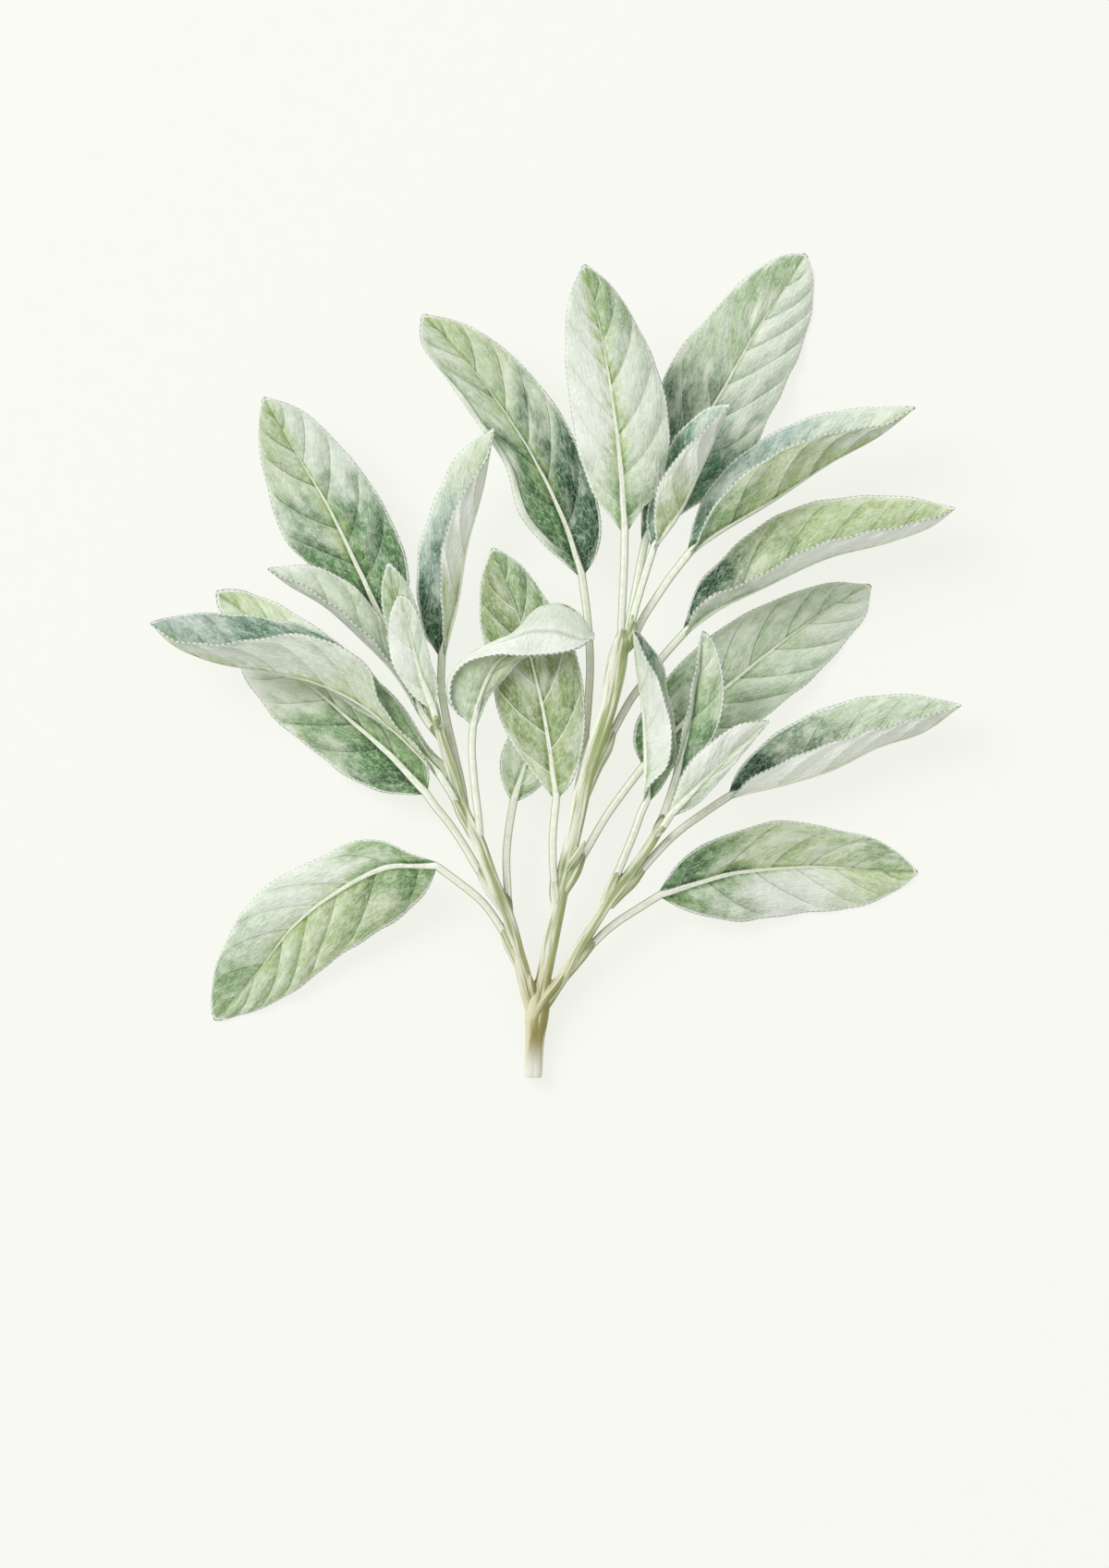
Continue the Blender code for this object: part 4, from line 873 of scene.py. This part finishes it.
# The left shoot: open leaves and two that are folded along the rib, so that the near half
# shows its pale underside, round a pair of small new leaves.
lay_leaf(
    "leaf_left_lower", "deep_leaf", ("fern", "sage", "snow", "leaf", "mint", "mint"), veins=(-0.6, -0.6),
    deep_until=0.48,
    stalk=[(-14.9, 42.6, 10.1), (-17, 46.2, 10.2), (-20.1, 51.4, 10), (-23.1, 55.8, 10), (-25.9, 59.2, 9.9)],
    rib=[(-28, 62.2, 9.5), (-36, 70.6, 7.5), (-44, 77.6, 5.3), (-53, 85.2, 3.2), (-68.4, 92.2, 0.8)],
    left=[(-31, 62, 7.8), (-40, 63.4, 4.6), (-47, 67.2, 2.8), (-53, 72, 1.8), (-59, 76.6, 1.2),
        (-64.4, 83.2, 0.8), (-67.6, 88.6, 0.6)],
    right=[(-27.6, 65.6, 9), (-29, 70, 8), (-32, 73, 6.8), (-40, 80, 4.8), (-50, 87.2, 2.8),
        (-60, 91.6, 1.6)])
lay_leaf(
    "leaf_left_folded", "pale_leaf", ("lime", "frost", "frost", "leaf", "teal", "slate"), veins=(0.5, -0.3),
    deep_until=0.36, near="left", glow=0.6,
    stalk=[(-20.5, 58.4, 14.4), (-22.5, 62.1, 16)],
    rib=[(-24.8, 65.8, 16.6), (-32.2, 73.4, 15.7), (-41, 80.6, 15), (-51, 85.6, 14.5), (-62, 88.2, 14.5),
        (-75.2, 90.8, 15), (-83, 94.4, 16), (-87.4, 98.8, 17)],
    left=[(-28, 70.6, 17.8), (-37, 80.6, 19), (-41, 90.2, 20.5), (-47, 94, 21), (-55, 96.4, 21),
        (-65, 95.2, 20.5), (-76, 94.2, 19.5), (-84, 96, 18)],
    right=[(-29, 72.2, 15), (-35.7, 83, 12.8), (-44.6, 92.3, 11.5), (-49.4, 95.8, 11), (-56.2, 98.5, 11),
        (-68, 100.5, 12), (-80, 100.5, 14.5)])
lay_leaf(
    "leaf_left_behind", "sage_leaf", ("sage", "mint", "sage", "sage", "frost", "lime"), veins=(-0.4, -0.4),
    stalk=[(-21.4, 62.8, 13.9), (-23.2, 66, 12.4)],
    rib=[(-24.4, 68, 11.7), (-32, 75.6, 10.8), (-42, 82.6, 9), (-56, 92.6, 5.8), (-65, 99.2, 2),
        (-69.5, 102.6, 0.3), (-73.2, 105.6, 0.3)],
    left=[(-30, 72.6, 10), (-41, 79.2, 8.6), (-55, 88.6, 6.2), (-67, 97, 2.4), (-71, 99.8, 0.4),
        (-72.8, 102.6, 0.3)],
    right=[(-27.6, 71.4, 12), (-29.5, 74.6, 12), (-31.2, 77.8, 11.8), (-34.3, 82.2, 11.3),
        (-38.4, 86.2, 10.5), (-46.4, 94, 7.4), (-54.8, 99.8, 4), (-61.4, 103.5, 1.1), (-65.3, 105, 0.3),
        (-70, 106, 0.3)])
lay_leaf(
    "leaf_left_narrow", "pale_leaf", ("mint", "milk", "milk", "leaf", "mint", "frost"), veins=(0.2, -0.2),
    near="left",
    stalk=[(-24.6, 74, 15.8), (-26.6, 76.2, 14.8)],
    rib=[(-28.8, 79.4, 14.6), (-35, 88.6, 14.5), (-42, 95.6, 14), (-50, 102.6, 14), (-58.4, 107.6, 15),
        (-62, 110.5, 16)],
    left=[(-30.5, 83.2, 16), (-35, 90, 17), (-40.4, 96.2, 18), (-46.5, 101.5, 18.5), (-54.8, 107, 17.5)],
    right=[(-29, 82, 14), (-32, 86.6, 12.8), (-36, 94.2, 12), (-38.4, 100.6, 12), (-44, 107, 12.5),
        (-52, 111, 14)])
lay_leaf(
    "leaf_left_broad", "sage_leaf", ("fern", "mint", "lime", "fern", "frost", "frost"), veins=(-0.8, -0.6),
    deep_until=0.5, glow=0.8,
    stalk=[(-23.2, 70.6, 14.3), (-25.6, 76.6, 12.5), (-29, 84.6, 11), (-33, 92.6, 10)],
    rib=[(-36.8, 98.2, 9.5), (-43, 111.6, 9), (-49, 124, 9.5), (-56, 135.6, 10.5), (-63, 147.6, 13)],
    left=[(-41, 101.6, 9), (-48, 107.6, 8), (-53, 111.4, 8), (-58, 116.6, 8.5), (-62, 127.6, 10),
        (-64, 139.6, 12)],
    right=[(-33.6, 100.6, 9.5), (-32, 105.6, 9.5), (-32, 110.6, 9.5), (-35, 120, 10), (-40.2, 129.4, 10.5),
        (-46.5, 137.2, 11.5), (-56.3, 145.6, 13)])
lay_leaf(
    "small_leaf_left_back", "sage_leaf", ("leaf", "sage", "sage", "leaf", "sage", "mint"), veins=(-0.3, -0.3),
    rows=15,
    stalk=[(-25.3, 77.2, 16.4), (-25.9, 80.5, 16.4)],
    rib=[(-27.4, 84, 16.5), (-31, 91.2, 15.5), (-33.6, 101.6, 16), (-36, 112, 17.5)],
    left=[(-29.7, 87, 15.7), (-35, 94, 16), (-37, 100.6, 16), (-37.4, 106.6, 16.5)],
    right=[(-27.6, 87.6, 16), (-28.4, 94.6, 16), (-29.6, 101.2, 16.5), (-32.4, 108, 17)])
lay_leaf(
    "small_leaf_left_front", "pale_leaf", ("frost", "milk", "frost", "mint", "frost", "frost"),
    veins=(-0.3, -0.3), rows=15,
    stalk=[(-25.2, 76.2, 16.4), (-25.5, 77.4, 18.6)],
    rib=[(-26.4, 80.6, 19.3), (-29, 87.6, 19.5), (-31, 95.6, 20.5), (-33.4, 105, 22)],
    left=[(-29.6, 82.6, 18.8), (-34.8, 89.6, 19.5), (-36, 97.6, 20.5), (-34.8, 102.6, 21.5)],
    right=[(-25.6, 84.6, 19), (-27, 90.6, 20), (-29.4, 100, 21.5), (-31.4, 103.6, 22)])
lay_leaf(
    "leaf_left_upright", "pale_leaf", ("pine", "slate", "mint", "lime", "snow", "milk"), veins=(-0.3, -0.3),
    deep_until=0.4, near="right",
    stalk=[(-19.2, 57.4, 13.2), (-20.1, 63.6, 12.2), (-21.7, 70.6, 11.8), (-23.5, 78.6, 12),
        (-24.5, 84.8, 12.3)],
    rib=[(-24.4, 91.6, 13), (-21.5, 101.6, 13.5), (-19, 115.6, 14), (-15.6, 127.6, 15), (-13.2, 140.8, 17)],
    left=[(-27.2, 95.6, 12), (-29.5, 106.6, 11.5), (-29.4, 112.8, 11.5), (-26, 125, 12.5), (-20, 136, 14.5)],
    right=[(-24.6, 95.6, 15), (-24.8, 103.6, 17), (-24, 116.6, 18), (-20.5, 125.6, 18), (-14.8, 134.6, 18)])

# The crown of the middle shoot: three large leaves fanned out, dark at their feet and pale at
# their tips, and a small one half folded in front.
lay_leaf(
    "leaf_crown_left", "deep_leaf", ("fern", "mint", "mint", "pine", "mint", "lime"), veins=(-0.7, -0.8),
    deep_until=0.52, glow=0.6, rim=2.2,
    stalk=[(6.2, 65.2, 12), (6.6, 73.6, 10.5), (7.3, 81.6, 10.5), (7.7, 89.6, 10.8), (7.1, 100, 11.3)],
    rib=[(5.9, 109.3, 11.8), (2.5, 119.6, 12), (-5, 135.2, 12.5), (-12.7, 147.1, 13), (-20.4, 157, 14),
        (-28.6, 165.6, 15)],
    left=[(0, 114.2, 12.3), (-7.4, 122.6, 13.3), (-10.4, 132.6, 14), (-17, 142.6, 14.5), (-23.2, 151.6, 15),
        (-29, 160.8, 15.5)],
    right=[(8.6, 113.6, 12.3), (9.6, 118.6, 12.5), (8.4, 127.6, 13), (5, 136.6, 13.5), (1, 144.6, 14),
        (-4, 151.2, 14.5), (-12, 159, 15), (-20, 163.6, 15.5)])
lay_leaf(
    "leaf_crown_centre", "pale_leaf", ("sage", "milk", "frost", "sage", "frost", "leaf"), veins=(-0.3, 0.6),
    deep_until=0.25, glow=1.0,
    stalk=[(14.3, 94.6, 18), (14.8, 105.6, 20), (15.1, 112.6, 21)],
    rib=[(15.2, 118.8, 21.4), (14.2, 133.6, 22), (12.4, 147.6, 23), (9.6, 163.6, 24), (6.4, 176.4, 25.5)],
    left=[(13.2, 121.4, 21.4), (10.3, 124.6, 21.1), (6, 133.6, 21.5), (3.6, 145.6, 22.5), (2.4, 157.6, 23.5),
        (3.4, 169.6, 25)],
    right=[(17.6, 122.4, 21.4), (21.9, 127, 21.1), (24.6, 136.6, 21.5), (24.3, 145.6, 22),
        (22.2, 153.6, 22.5), (17.6, 163.6, 23.5), (11.4, 172.6, 25)])
lay_leaf(
    "leaf_crown_right", "deep_leaf", ("pine", "mint", "sage", "teal", "frost", "frost"), veins=(0.5, -0.6),
    deep_until=0.45, wool=0.9,
    stalk=[(14.6, 92.4, 16), (15.2, 95.2, 14.9), (15.9, 97.8, 14.2), (16.6, 101, 13.7), (17.4, 105, 13.2),
        (18.4, 110.6, 12.4)],
    rib=[(19.6, 116.4, 12), (21.6, 122.4, 11.8), (27, 133.6, 10.5), (36, 148.6, 7.5), (44, 162.6, 3.5),
        (50, 171.6, 0.8), (54.4, 178.6, 0.3)],
    left=[(19.4, 120.6, 12.1), (19.6, 126.6, 12), (20, 137.6, 11.5), (23, 149.8, 10), (26.5, 157, 8),
        (33.5, 165.1, 5), (41.7, 173.6, 1.5), (50, 178.2, 0.3)],
    right=[(21.6, 118.6, 11.7), (26.4, 122, 11), (32, 125.6, 10), (40, 130.6, 8), (45, 140.6, 5.5),
        (50, 150.6, 2.6), (54.4, 161.6, 0.6), (55.8, 173.6, 0.3)])
lay_leaf(
    "small_leaf_crown", "sage_leaf", ("teal", "teal", "slate", "lime", "snow", "milk"), veins=(-0.2, -0.3),
    deep_until=0.45, near="right", rows=15,
    stalk=[(16.5, 96.6, 18.6), (16.9, 99.6, 19.5), (18.2, 104.6, 19.6), (19.7, 109.6, 19.4)],
    rib=[(21.4, 115, 19.6), (26.6, 122, 20), (31.4, 131.6, 20.5), (36, 141.6, 21.5), (38, 146, 22)],
    left=[(20.4, 119.6, 18.5), (20.6, 124.6, 17.5), (23.6, 133.6, 17), (27, 140, 17.5), (34, 145.4, 20)],
    right=[(21.2, 119.6, 20.8), (22.4, 128.6, 23.5), (27, 135.2, 24), (34, 142, 23.5)])

# The leaves of the right side: folded ones above, open and narrow ones below, and the three
# small new leaves at the right shoot's end.
lay_leaf(
    "leaf_right_top", "pale_leaf", ("teal", "slate", "frost", "leaf", "lime", "frost"), veins=(-0.3, -0.4),
    deep_until=0.3, near="right", glow=0.9,
    stalk=[(16.2, 93.8, 17.4), (17.9, 97.2, 17.1), (19.2, 99.8, 17.1), (21.8, 103.9, 17.1), (25, 108.6, 17)],
    rib=[(29.3, 114.1, 17), (36.2, 118.8, 16.8), (45.3, 124.1, 16.5), (60.4, 133.9, 16.5),
        (70.4, 139.4, 17.5), (78, 145.4, 19)],
    left=[(31, 121.8, 15), (34, 128.2, 14), (39.6, 134.3, 13.5), (46.7, 139.4, 13.5), (55.8, 143.4, 14),
        (68, 145.3, 16)],
    right=[(31, 118.6, 18.8), (37, 127.6, 20.5), (43, 132.6, 21), (52, 137.6, 21.5), (61, 140.2, 21.5),
        (72, 142, 20.5)])
lay_leaf(
    "leaf_right_upper", "sage_leaf", ("pine", "lime", "lime", "mint", "snow", "snow"), veins=(-0.6, 0.3),
    deep_until=0.32, near="right", glow=0.3,
    stalk=[(11.2, 72.2, 12.9), (13.4, 76.6, 12.6), (16.8, 82.6, 12), (19.6, 86.4, 12), (23.6, 91.6, 12.3)],
    rib=[(28.4, 97, 12.5), (36, 102.2, 12.3), (44, 106, 12), (60, 113.2, 12), (72, 116.2, 12.5),
        (83, 120.6, 13.5), (86.6, 123.6, 14)],
    left=[(31.4, 106.6, 11), (37, 113, 10), (43, 118.6, 9.5), (52, 123.6, 9.5), (64, 126, 10.5),
        (76, 126, 12)],
    right=[(29, 100.6, 14.5), (34, 105, 16), (40, 107.2, 16.5), (48, 111.2, 17), (54, 114.6, 17.5),
        (64, 117.6, 17.5), (80, 121, 16)])
lay_leaf(
    "leaf_right_middle", "sage_leaf", ("fern", "mint", "mint", "fern", "mint", "frost"), veins=(-0.7, -0.6),
    deep_until=0.32,
    stalk=[(4.4, 45.2, 9.2), (7.6, 50.8, 9.4), (11, 56.6, 9.6), (16, 63.6, 10)],
    rib=[(19.4, 68, 10), (28, 77.4, 8.5), (37, 84.8, 6.5), (54, 98.2, 1.5), (62, 103.6, 0.3),
        (68.4, 107, 0.3)],
    left=[(17.6, 72, 10.5), (18, 76.6, 10.5), (21, 82.2, 10), (24.4, 86.6, 9.5), (33, 95.2, 6.5),
        (40, 100, 4.5), (49, 104.2, 2), (60, 107.4, 0.4)],
    right=[(23, 67.6, 9.5), (32, 70.6, 7.5), (40, 74.2, 5.5), (48, 80.6, 4), (56, 87, 2), (62, 93.6, 0.5),
        (67.6, 101.6, 0.3)])
lay_leaf(
    "leaf_right_narrow", "pale_leaf", ("pine", "mint", "mint", "snow", "snow", "milk"), veins=(-0.5, -0.2),
    deep_until=0.38, near="right",
    stalk=[(16.8, 42.8, 10.4), (22, 48.9, 11.2), (25, 52, 11.1), (28.2, 54.7, 11), (32, 57.4, 11),
        (34.6, 59.2, 11)],
    rib=[(38, 61.4, 11), (50, 64.1, 10), (60, 67.1, 9.5), (70, 71.9, 9.3), (80, 75.3, 9.8), (88, 81, 11)],
    left=[(39, 64.6, 10.2), (41, 67.6, 9.5), (46, 73, 8.5), (54, 78.2, 8), (65, 82.2, 8), (77, 83.2, 9)],
    right=[(40, 63.8, 12.5), (50, 69.2, 13.5), (64, 74.2, 13.5), (80, 78.6, 12.5)])
lay_leaf(
    "small_leaf_right_folded", "pale_leaf", ("frost", "milk", "frost", "leaf", "sage", "teal"),
    veins=(-0.3, -0.2), near="left", rows=15,
    stalk=[(12.6, 42.2, 10.8), (15.5, 49.1, 13.4), (17.5, 54.1, 15), (18.8, 57.8, 15.7)],
    rib=[(20, 60.4, 16), (19.8, 67.6, 16.5), (19.2, 79.6, 17), (17.6, 90.6, 19.5), (17, 97.6, 22.5)],
    left=[(20.6, 62.6, 18.2), (24.6, 67.6, 19.2), (25.6, 73.6, 19.5), (24.2, 81.2, 20), (22.4, 86.6, 21),
        (20, 91.2, 22)],
    right=[(23, 63.6, 15), (26, 70.6, 14.5), (25.8, 77.6, 14.5), (24.4, 84.6, 15.5), (23, 90.6, 17.5),
        (20, 94.6, 20)])
lay_leaf(
    "small_leaf_right_cupped", "sage_leaf", ("frost", "frost", "milk", "fern", "sage", "mint"),
    veins=(0.0, -0.3), deep_until=0.45, rows=15,
    stalk=[(22.2, 54, 12.8), (23.8, 57.8, 12.8)],
    rib=[(26.4, 65.6, 15.5), (28.6, 73.6, 16), (30.4, 83.6, 17), (32.2, 97, 20)],
    left=[(27, 69.6, 16.5), (27.6, 73.6, 17.5), (29.6, 83.6, 19), (31.2, 92.6, 20)],
    right=[(29, 68.6, 17), (34, 73.6, 18), (36.4, 80.6, 18.5), (35.8, 90.6, 19.5), (34, 95, 20)])
lay_leaf(
    "small_leaf_right_pale", "pale_leaf", ("frost", "milk", "milk", "mint", "frost", "frost"),
    veins=(-0.2, -0.3), rows=15,
    stalk=[(21.8, 53, 13.5), (23, 54, 16)],
    rib=[(25.4, 57.6, 17), (29, 61.2, 17.5), (35, 67.2, 18.5), (40, 72, 19), (46.4, 77.6, 20)],
    left=[(26.4, 61.2, 17.2), (29, 68, 19), (34, 73, 20), (40, 76.8, 20.5)],
    right=[(29.6, 59.2, 17), (35.4, 64.4, 18.3), (41, 70.8, 19.3)])

# The leaves in the middle: an open one with raised pale veins, one whose left half curls back
# over itself and shows its white underside, and a small one low between the shoots.
lay_leaf(
    "leaf_centre", "sage_leaf", ("lime", "moss", "moss", "lime", "moss", "leaf"), veins=(0.9, 0.9),
    deep_until=0.2,
    stalk=[(0.2, 40.4, 8.5), (-0.3, 46, 10.6), (-0.4, 51.6, 11.8)],
    rib=[(0.4, 61.2, 13), (-2, 77.6, 14), (-5, 90.6, 14.5), (-9, 103.6, 15), (-13.4, 115, 16)],
    left=[(-6, 68.6, 13), (-11, 76.6, 13.3), (-13, 83.6, 13.6), (-15.2, 94.2, 14), (-16.2, 102.6, 14.5),
        (-15.6, 108.6, 15.2)],
    right=[(2.4, 63.2, 14), (5.2, 69.6, 15.6), (6.4, 81.6, 15.5), (4.4, 92.6, 15.3), (-1.6, 103.6, 15.5),
        (-9, 112.6, 16)])
lay_leaf(
    "leaf_curled", "pale_leaf", ("frost", "milk", "milk", "mint", "lime", "moss"), veins=(0.1, 0.3),
    near="left", rolled=0.7,
    stalk=[(-16, 50.4, 12.3), (-16.4, 55.8, 14.4), (-17.5, 65.6, 15.8), (-17.9, 72.6, 16.5)],
    rib=[(-17.6, 76.8, 17), (-16.9, 79.6, 17.2), (-15.9, 83, 17.6), (-14.4, 87, 18), (-12, 90.6, 18.1),
        (-7, 93, 18), (0, 94.4, 18.3), (8, 95.4, 20.3)],
    fold=[(-18.7, 78.5, 17.3), (-20.8, 79.6, 17.4), (-22.7, 81.5, 17.6), (-23.4, 84.3, 17.8),
        (-22.8, 87.3, 18.4), (-20.7, 90.3, 19), (-18, 92.7, 19.5), (-15, 94.2, 20), (-9.3, 96.8, 20.5),
        (-7, 99.5, 20.5), (-4.7, 102, 20.5), (-1.3, 103.5, 20.5), (1.7, 103.9, 20.5), (4, 102.8, 20.6),
        (6.2, 100.3, 20.8), (7.4, 97.5, 21)],
    left=[(-18.9, 78.8, 18.2), (-20.6, 80.5, 18.9), (-21.9, 82.3, 19.2), (-22.3, 84.5, 19.7),
        (-21.8, 86.5, 20.2), (-20.3, 88.6, 20.8), (-18, 90.5, 21.4), (-15, 91.4, 21.8), (-12, 91.8, 22.2),
        (-7.3, 91.6, 22.6), (-2.7, 91.8, 22.8), (1.7, 92.3, 23), (5.7, 93.5, 22.8), (7.6, 94.8, 22.2)],
    right=[(-16.4, 79.2, 17), (-15.5, 81.2, 17), (-14.6, 82.8, 17), (-13.3, 84.3, 17), (-11, 86.6, 17.1),
        (-7.8, 90.4, 17.4), (-4, 92, 17.7), (2, 93, 18), (6, 94, 18.6)])
lay_leaf(
    "small_leaf_centre", "sage_leaf", ("sage", "mint", "mint", "sage", "mint", "mint"), veins=(-0.2, -0.2),
    rows=15,
    stalk=[(-9.9, 36.4, 9), (-10.2, 41.6, 8.8), (-10.4, 48.6, 8.5), (-9.8, 54.6, 8.5)],
    rib=[(-8.8, 60.4, 8.5), (-7.4, 65, 8.8), (-5.6, 70.6, 9), (-3.6, 77.2, 9.5)],
    left=[(-9.8, 62, 8.5), (-11.6, 66.6, 8.8), (-10.4, 73, 9.2), (-7.6, 76.6, 9.5)],
    right=[(-6.4, 61.4, 8.5), (-2.8, 64, 8.5), (-1.6, 69.6, 9), (-2, 74.6, 9.3)])

# The stem's tissue. It is grown last, because the feet of the leaves' stalks set its collars,
# and the green in the forks between stalks and shoots.
COLLAR_LENGTH, FORK_ABOVE_FOOT = 4.5, 3.0
NEAR_STEPS = 200


def beside(foot, step):
    """The point of the nearest shoot a step in millimetres further up than a stalk's foot."""
    closest = np.inf
    for route in SHOOTS[:SHOOT_COUNT]:
        path = smooth_line(route, np.linspace(0.0, 1.0, NEAR_STEPS))
        gaps = np.linalg.norm(path[:, :3] - foot, axis=1)
        if gaps.min() < closest:
            closest = gaps.min()
            ahead = round(step / line_length(route) * NEAR_STEPS)
            found = path[np.clip(gaps.argmin() + ahead, 0, NEAR_STEPS - 1)]
    return found


def collar(foot, beyond):
    """A short tube that leaves the nearest shoot at a slant and runs out along a stalk's start."""
    low, middle = beside(foot, -COLLAR_LENGTH), beside(foot, -0.5 * COLLAR_LENGTH)
    ahead = COLLAR_LENGTH * unit(beyond - foot)
    join = middle[:3] + 0.55 * (foot - middle[:3])
    return [(*low[:3], 0.5 * low[3]), (*join, 0.95), (*foot, 1.0), (*(foot + 0.5 * ahead), 0.9),
            (*(foot + ahead), 0.6)]


forks = [[-3.4, 18.6, 5.5], [2.6, 46.0, 11.0], [14.2, 93.0, 18.5]]
for foot, beyond in STALK_FEET:
    along_stalk = foot + FORK_ABOVE_FOOT * unit(beyond - foot)
    forks.append(0.5 * (along_stalk + beside(foot, FORK_ABOVE_FOOT)[:3]))
grow_stem([collar(foot, beyond) for foot, beyond in STALK_FEET], np.array(forks))

# The hairs. Sage is woolly: fine white hairs stand out all round each leaf's edge, each a thin
# pointed spike that leans its own way. Those that would reach the table are left out.
HAIRS_PER_MM, HAIR_LENGTH = 1.8, 0.42
HAIR_RADIUS, HAIR_TIP_RADIUS = 0.028, 0.004
LOWEST_HAIR, LOWEST_HAIR_TIP = 0.1, 0.05


def hair_skin(tree):
    """White, a little greener in patches."""
    return blend(grain(tree, 0.003), paint(226, 230, 218), paint(240, 242, 236)), grain(tree, 0.0001)


rng = random.Random(7)
hairs = bpy.data.meshes.new("edge_hairs")
together = bmesh.new()
for places, outward in margins:
    tuft = bmesh.new()
    run = run_along(places)
    for _ in range(int(run[-1] * HAIRS_PER_MM)):
        at = rng.uniform(0.03, 0.99) * run[-1]
        index = min(int(np.searchsorted(run, at)), len(run) - 1)
        lean = Vector([rng.gauss(0.0, 0.45) for _ in range(3)])
        aim = (Vector(outward[index]) + lean).normalized()
        length = HAIR_LENGTH * rng.uniform(0.5, 1.2)
        root = Vector(places[index]) + Vector([rng.uniform(-0.1, 0.1) for _ in range(3)])
        root.z = max(root.z, LOWEST_HAIR)
        middle = to_world(root + aim * (0.5 * length))
        if middle[2] < LOWEST_HAIR * MM or root.z + aim.z * length < LOWEST_HAIR_TIP:
            continue
        turn = aim.to_track_quat("Z", "Y").to_matrix().to_4x4()
        bmesh.ops.create_cone(
            tuft, cap_ends=True, segments=3, radius1=HAIR_RADIUS * MM, radius2=HAIR_TIP_RADIUS * MM,
            depth=length * MM, matrix=Matrix.Translation(middle) @ turn)
    scratch = bpy.data.meshes.new("tuft")
    tuft.to_mesh(scratch)
    tuft.free()
    together.from_mesh(scratch)
    bpy.data.meshes.remove(scratch)
together.to_mesh(hairs)
together.free()
hairs.materials.append(dull_material("hair_white", hair_skin, 0.00001, roughness=0.9, sheen=0.3))
fringe = bpy.data.objects.new("edge_hairs", hairs)
bpy.context.scene.collection.objects.link(fringe)
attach(fringe, "root")
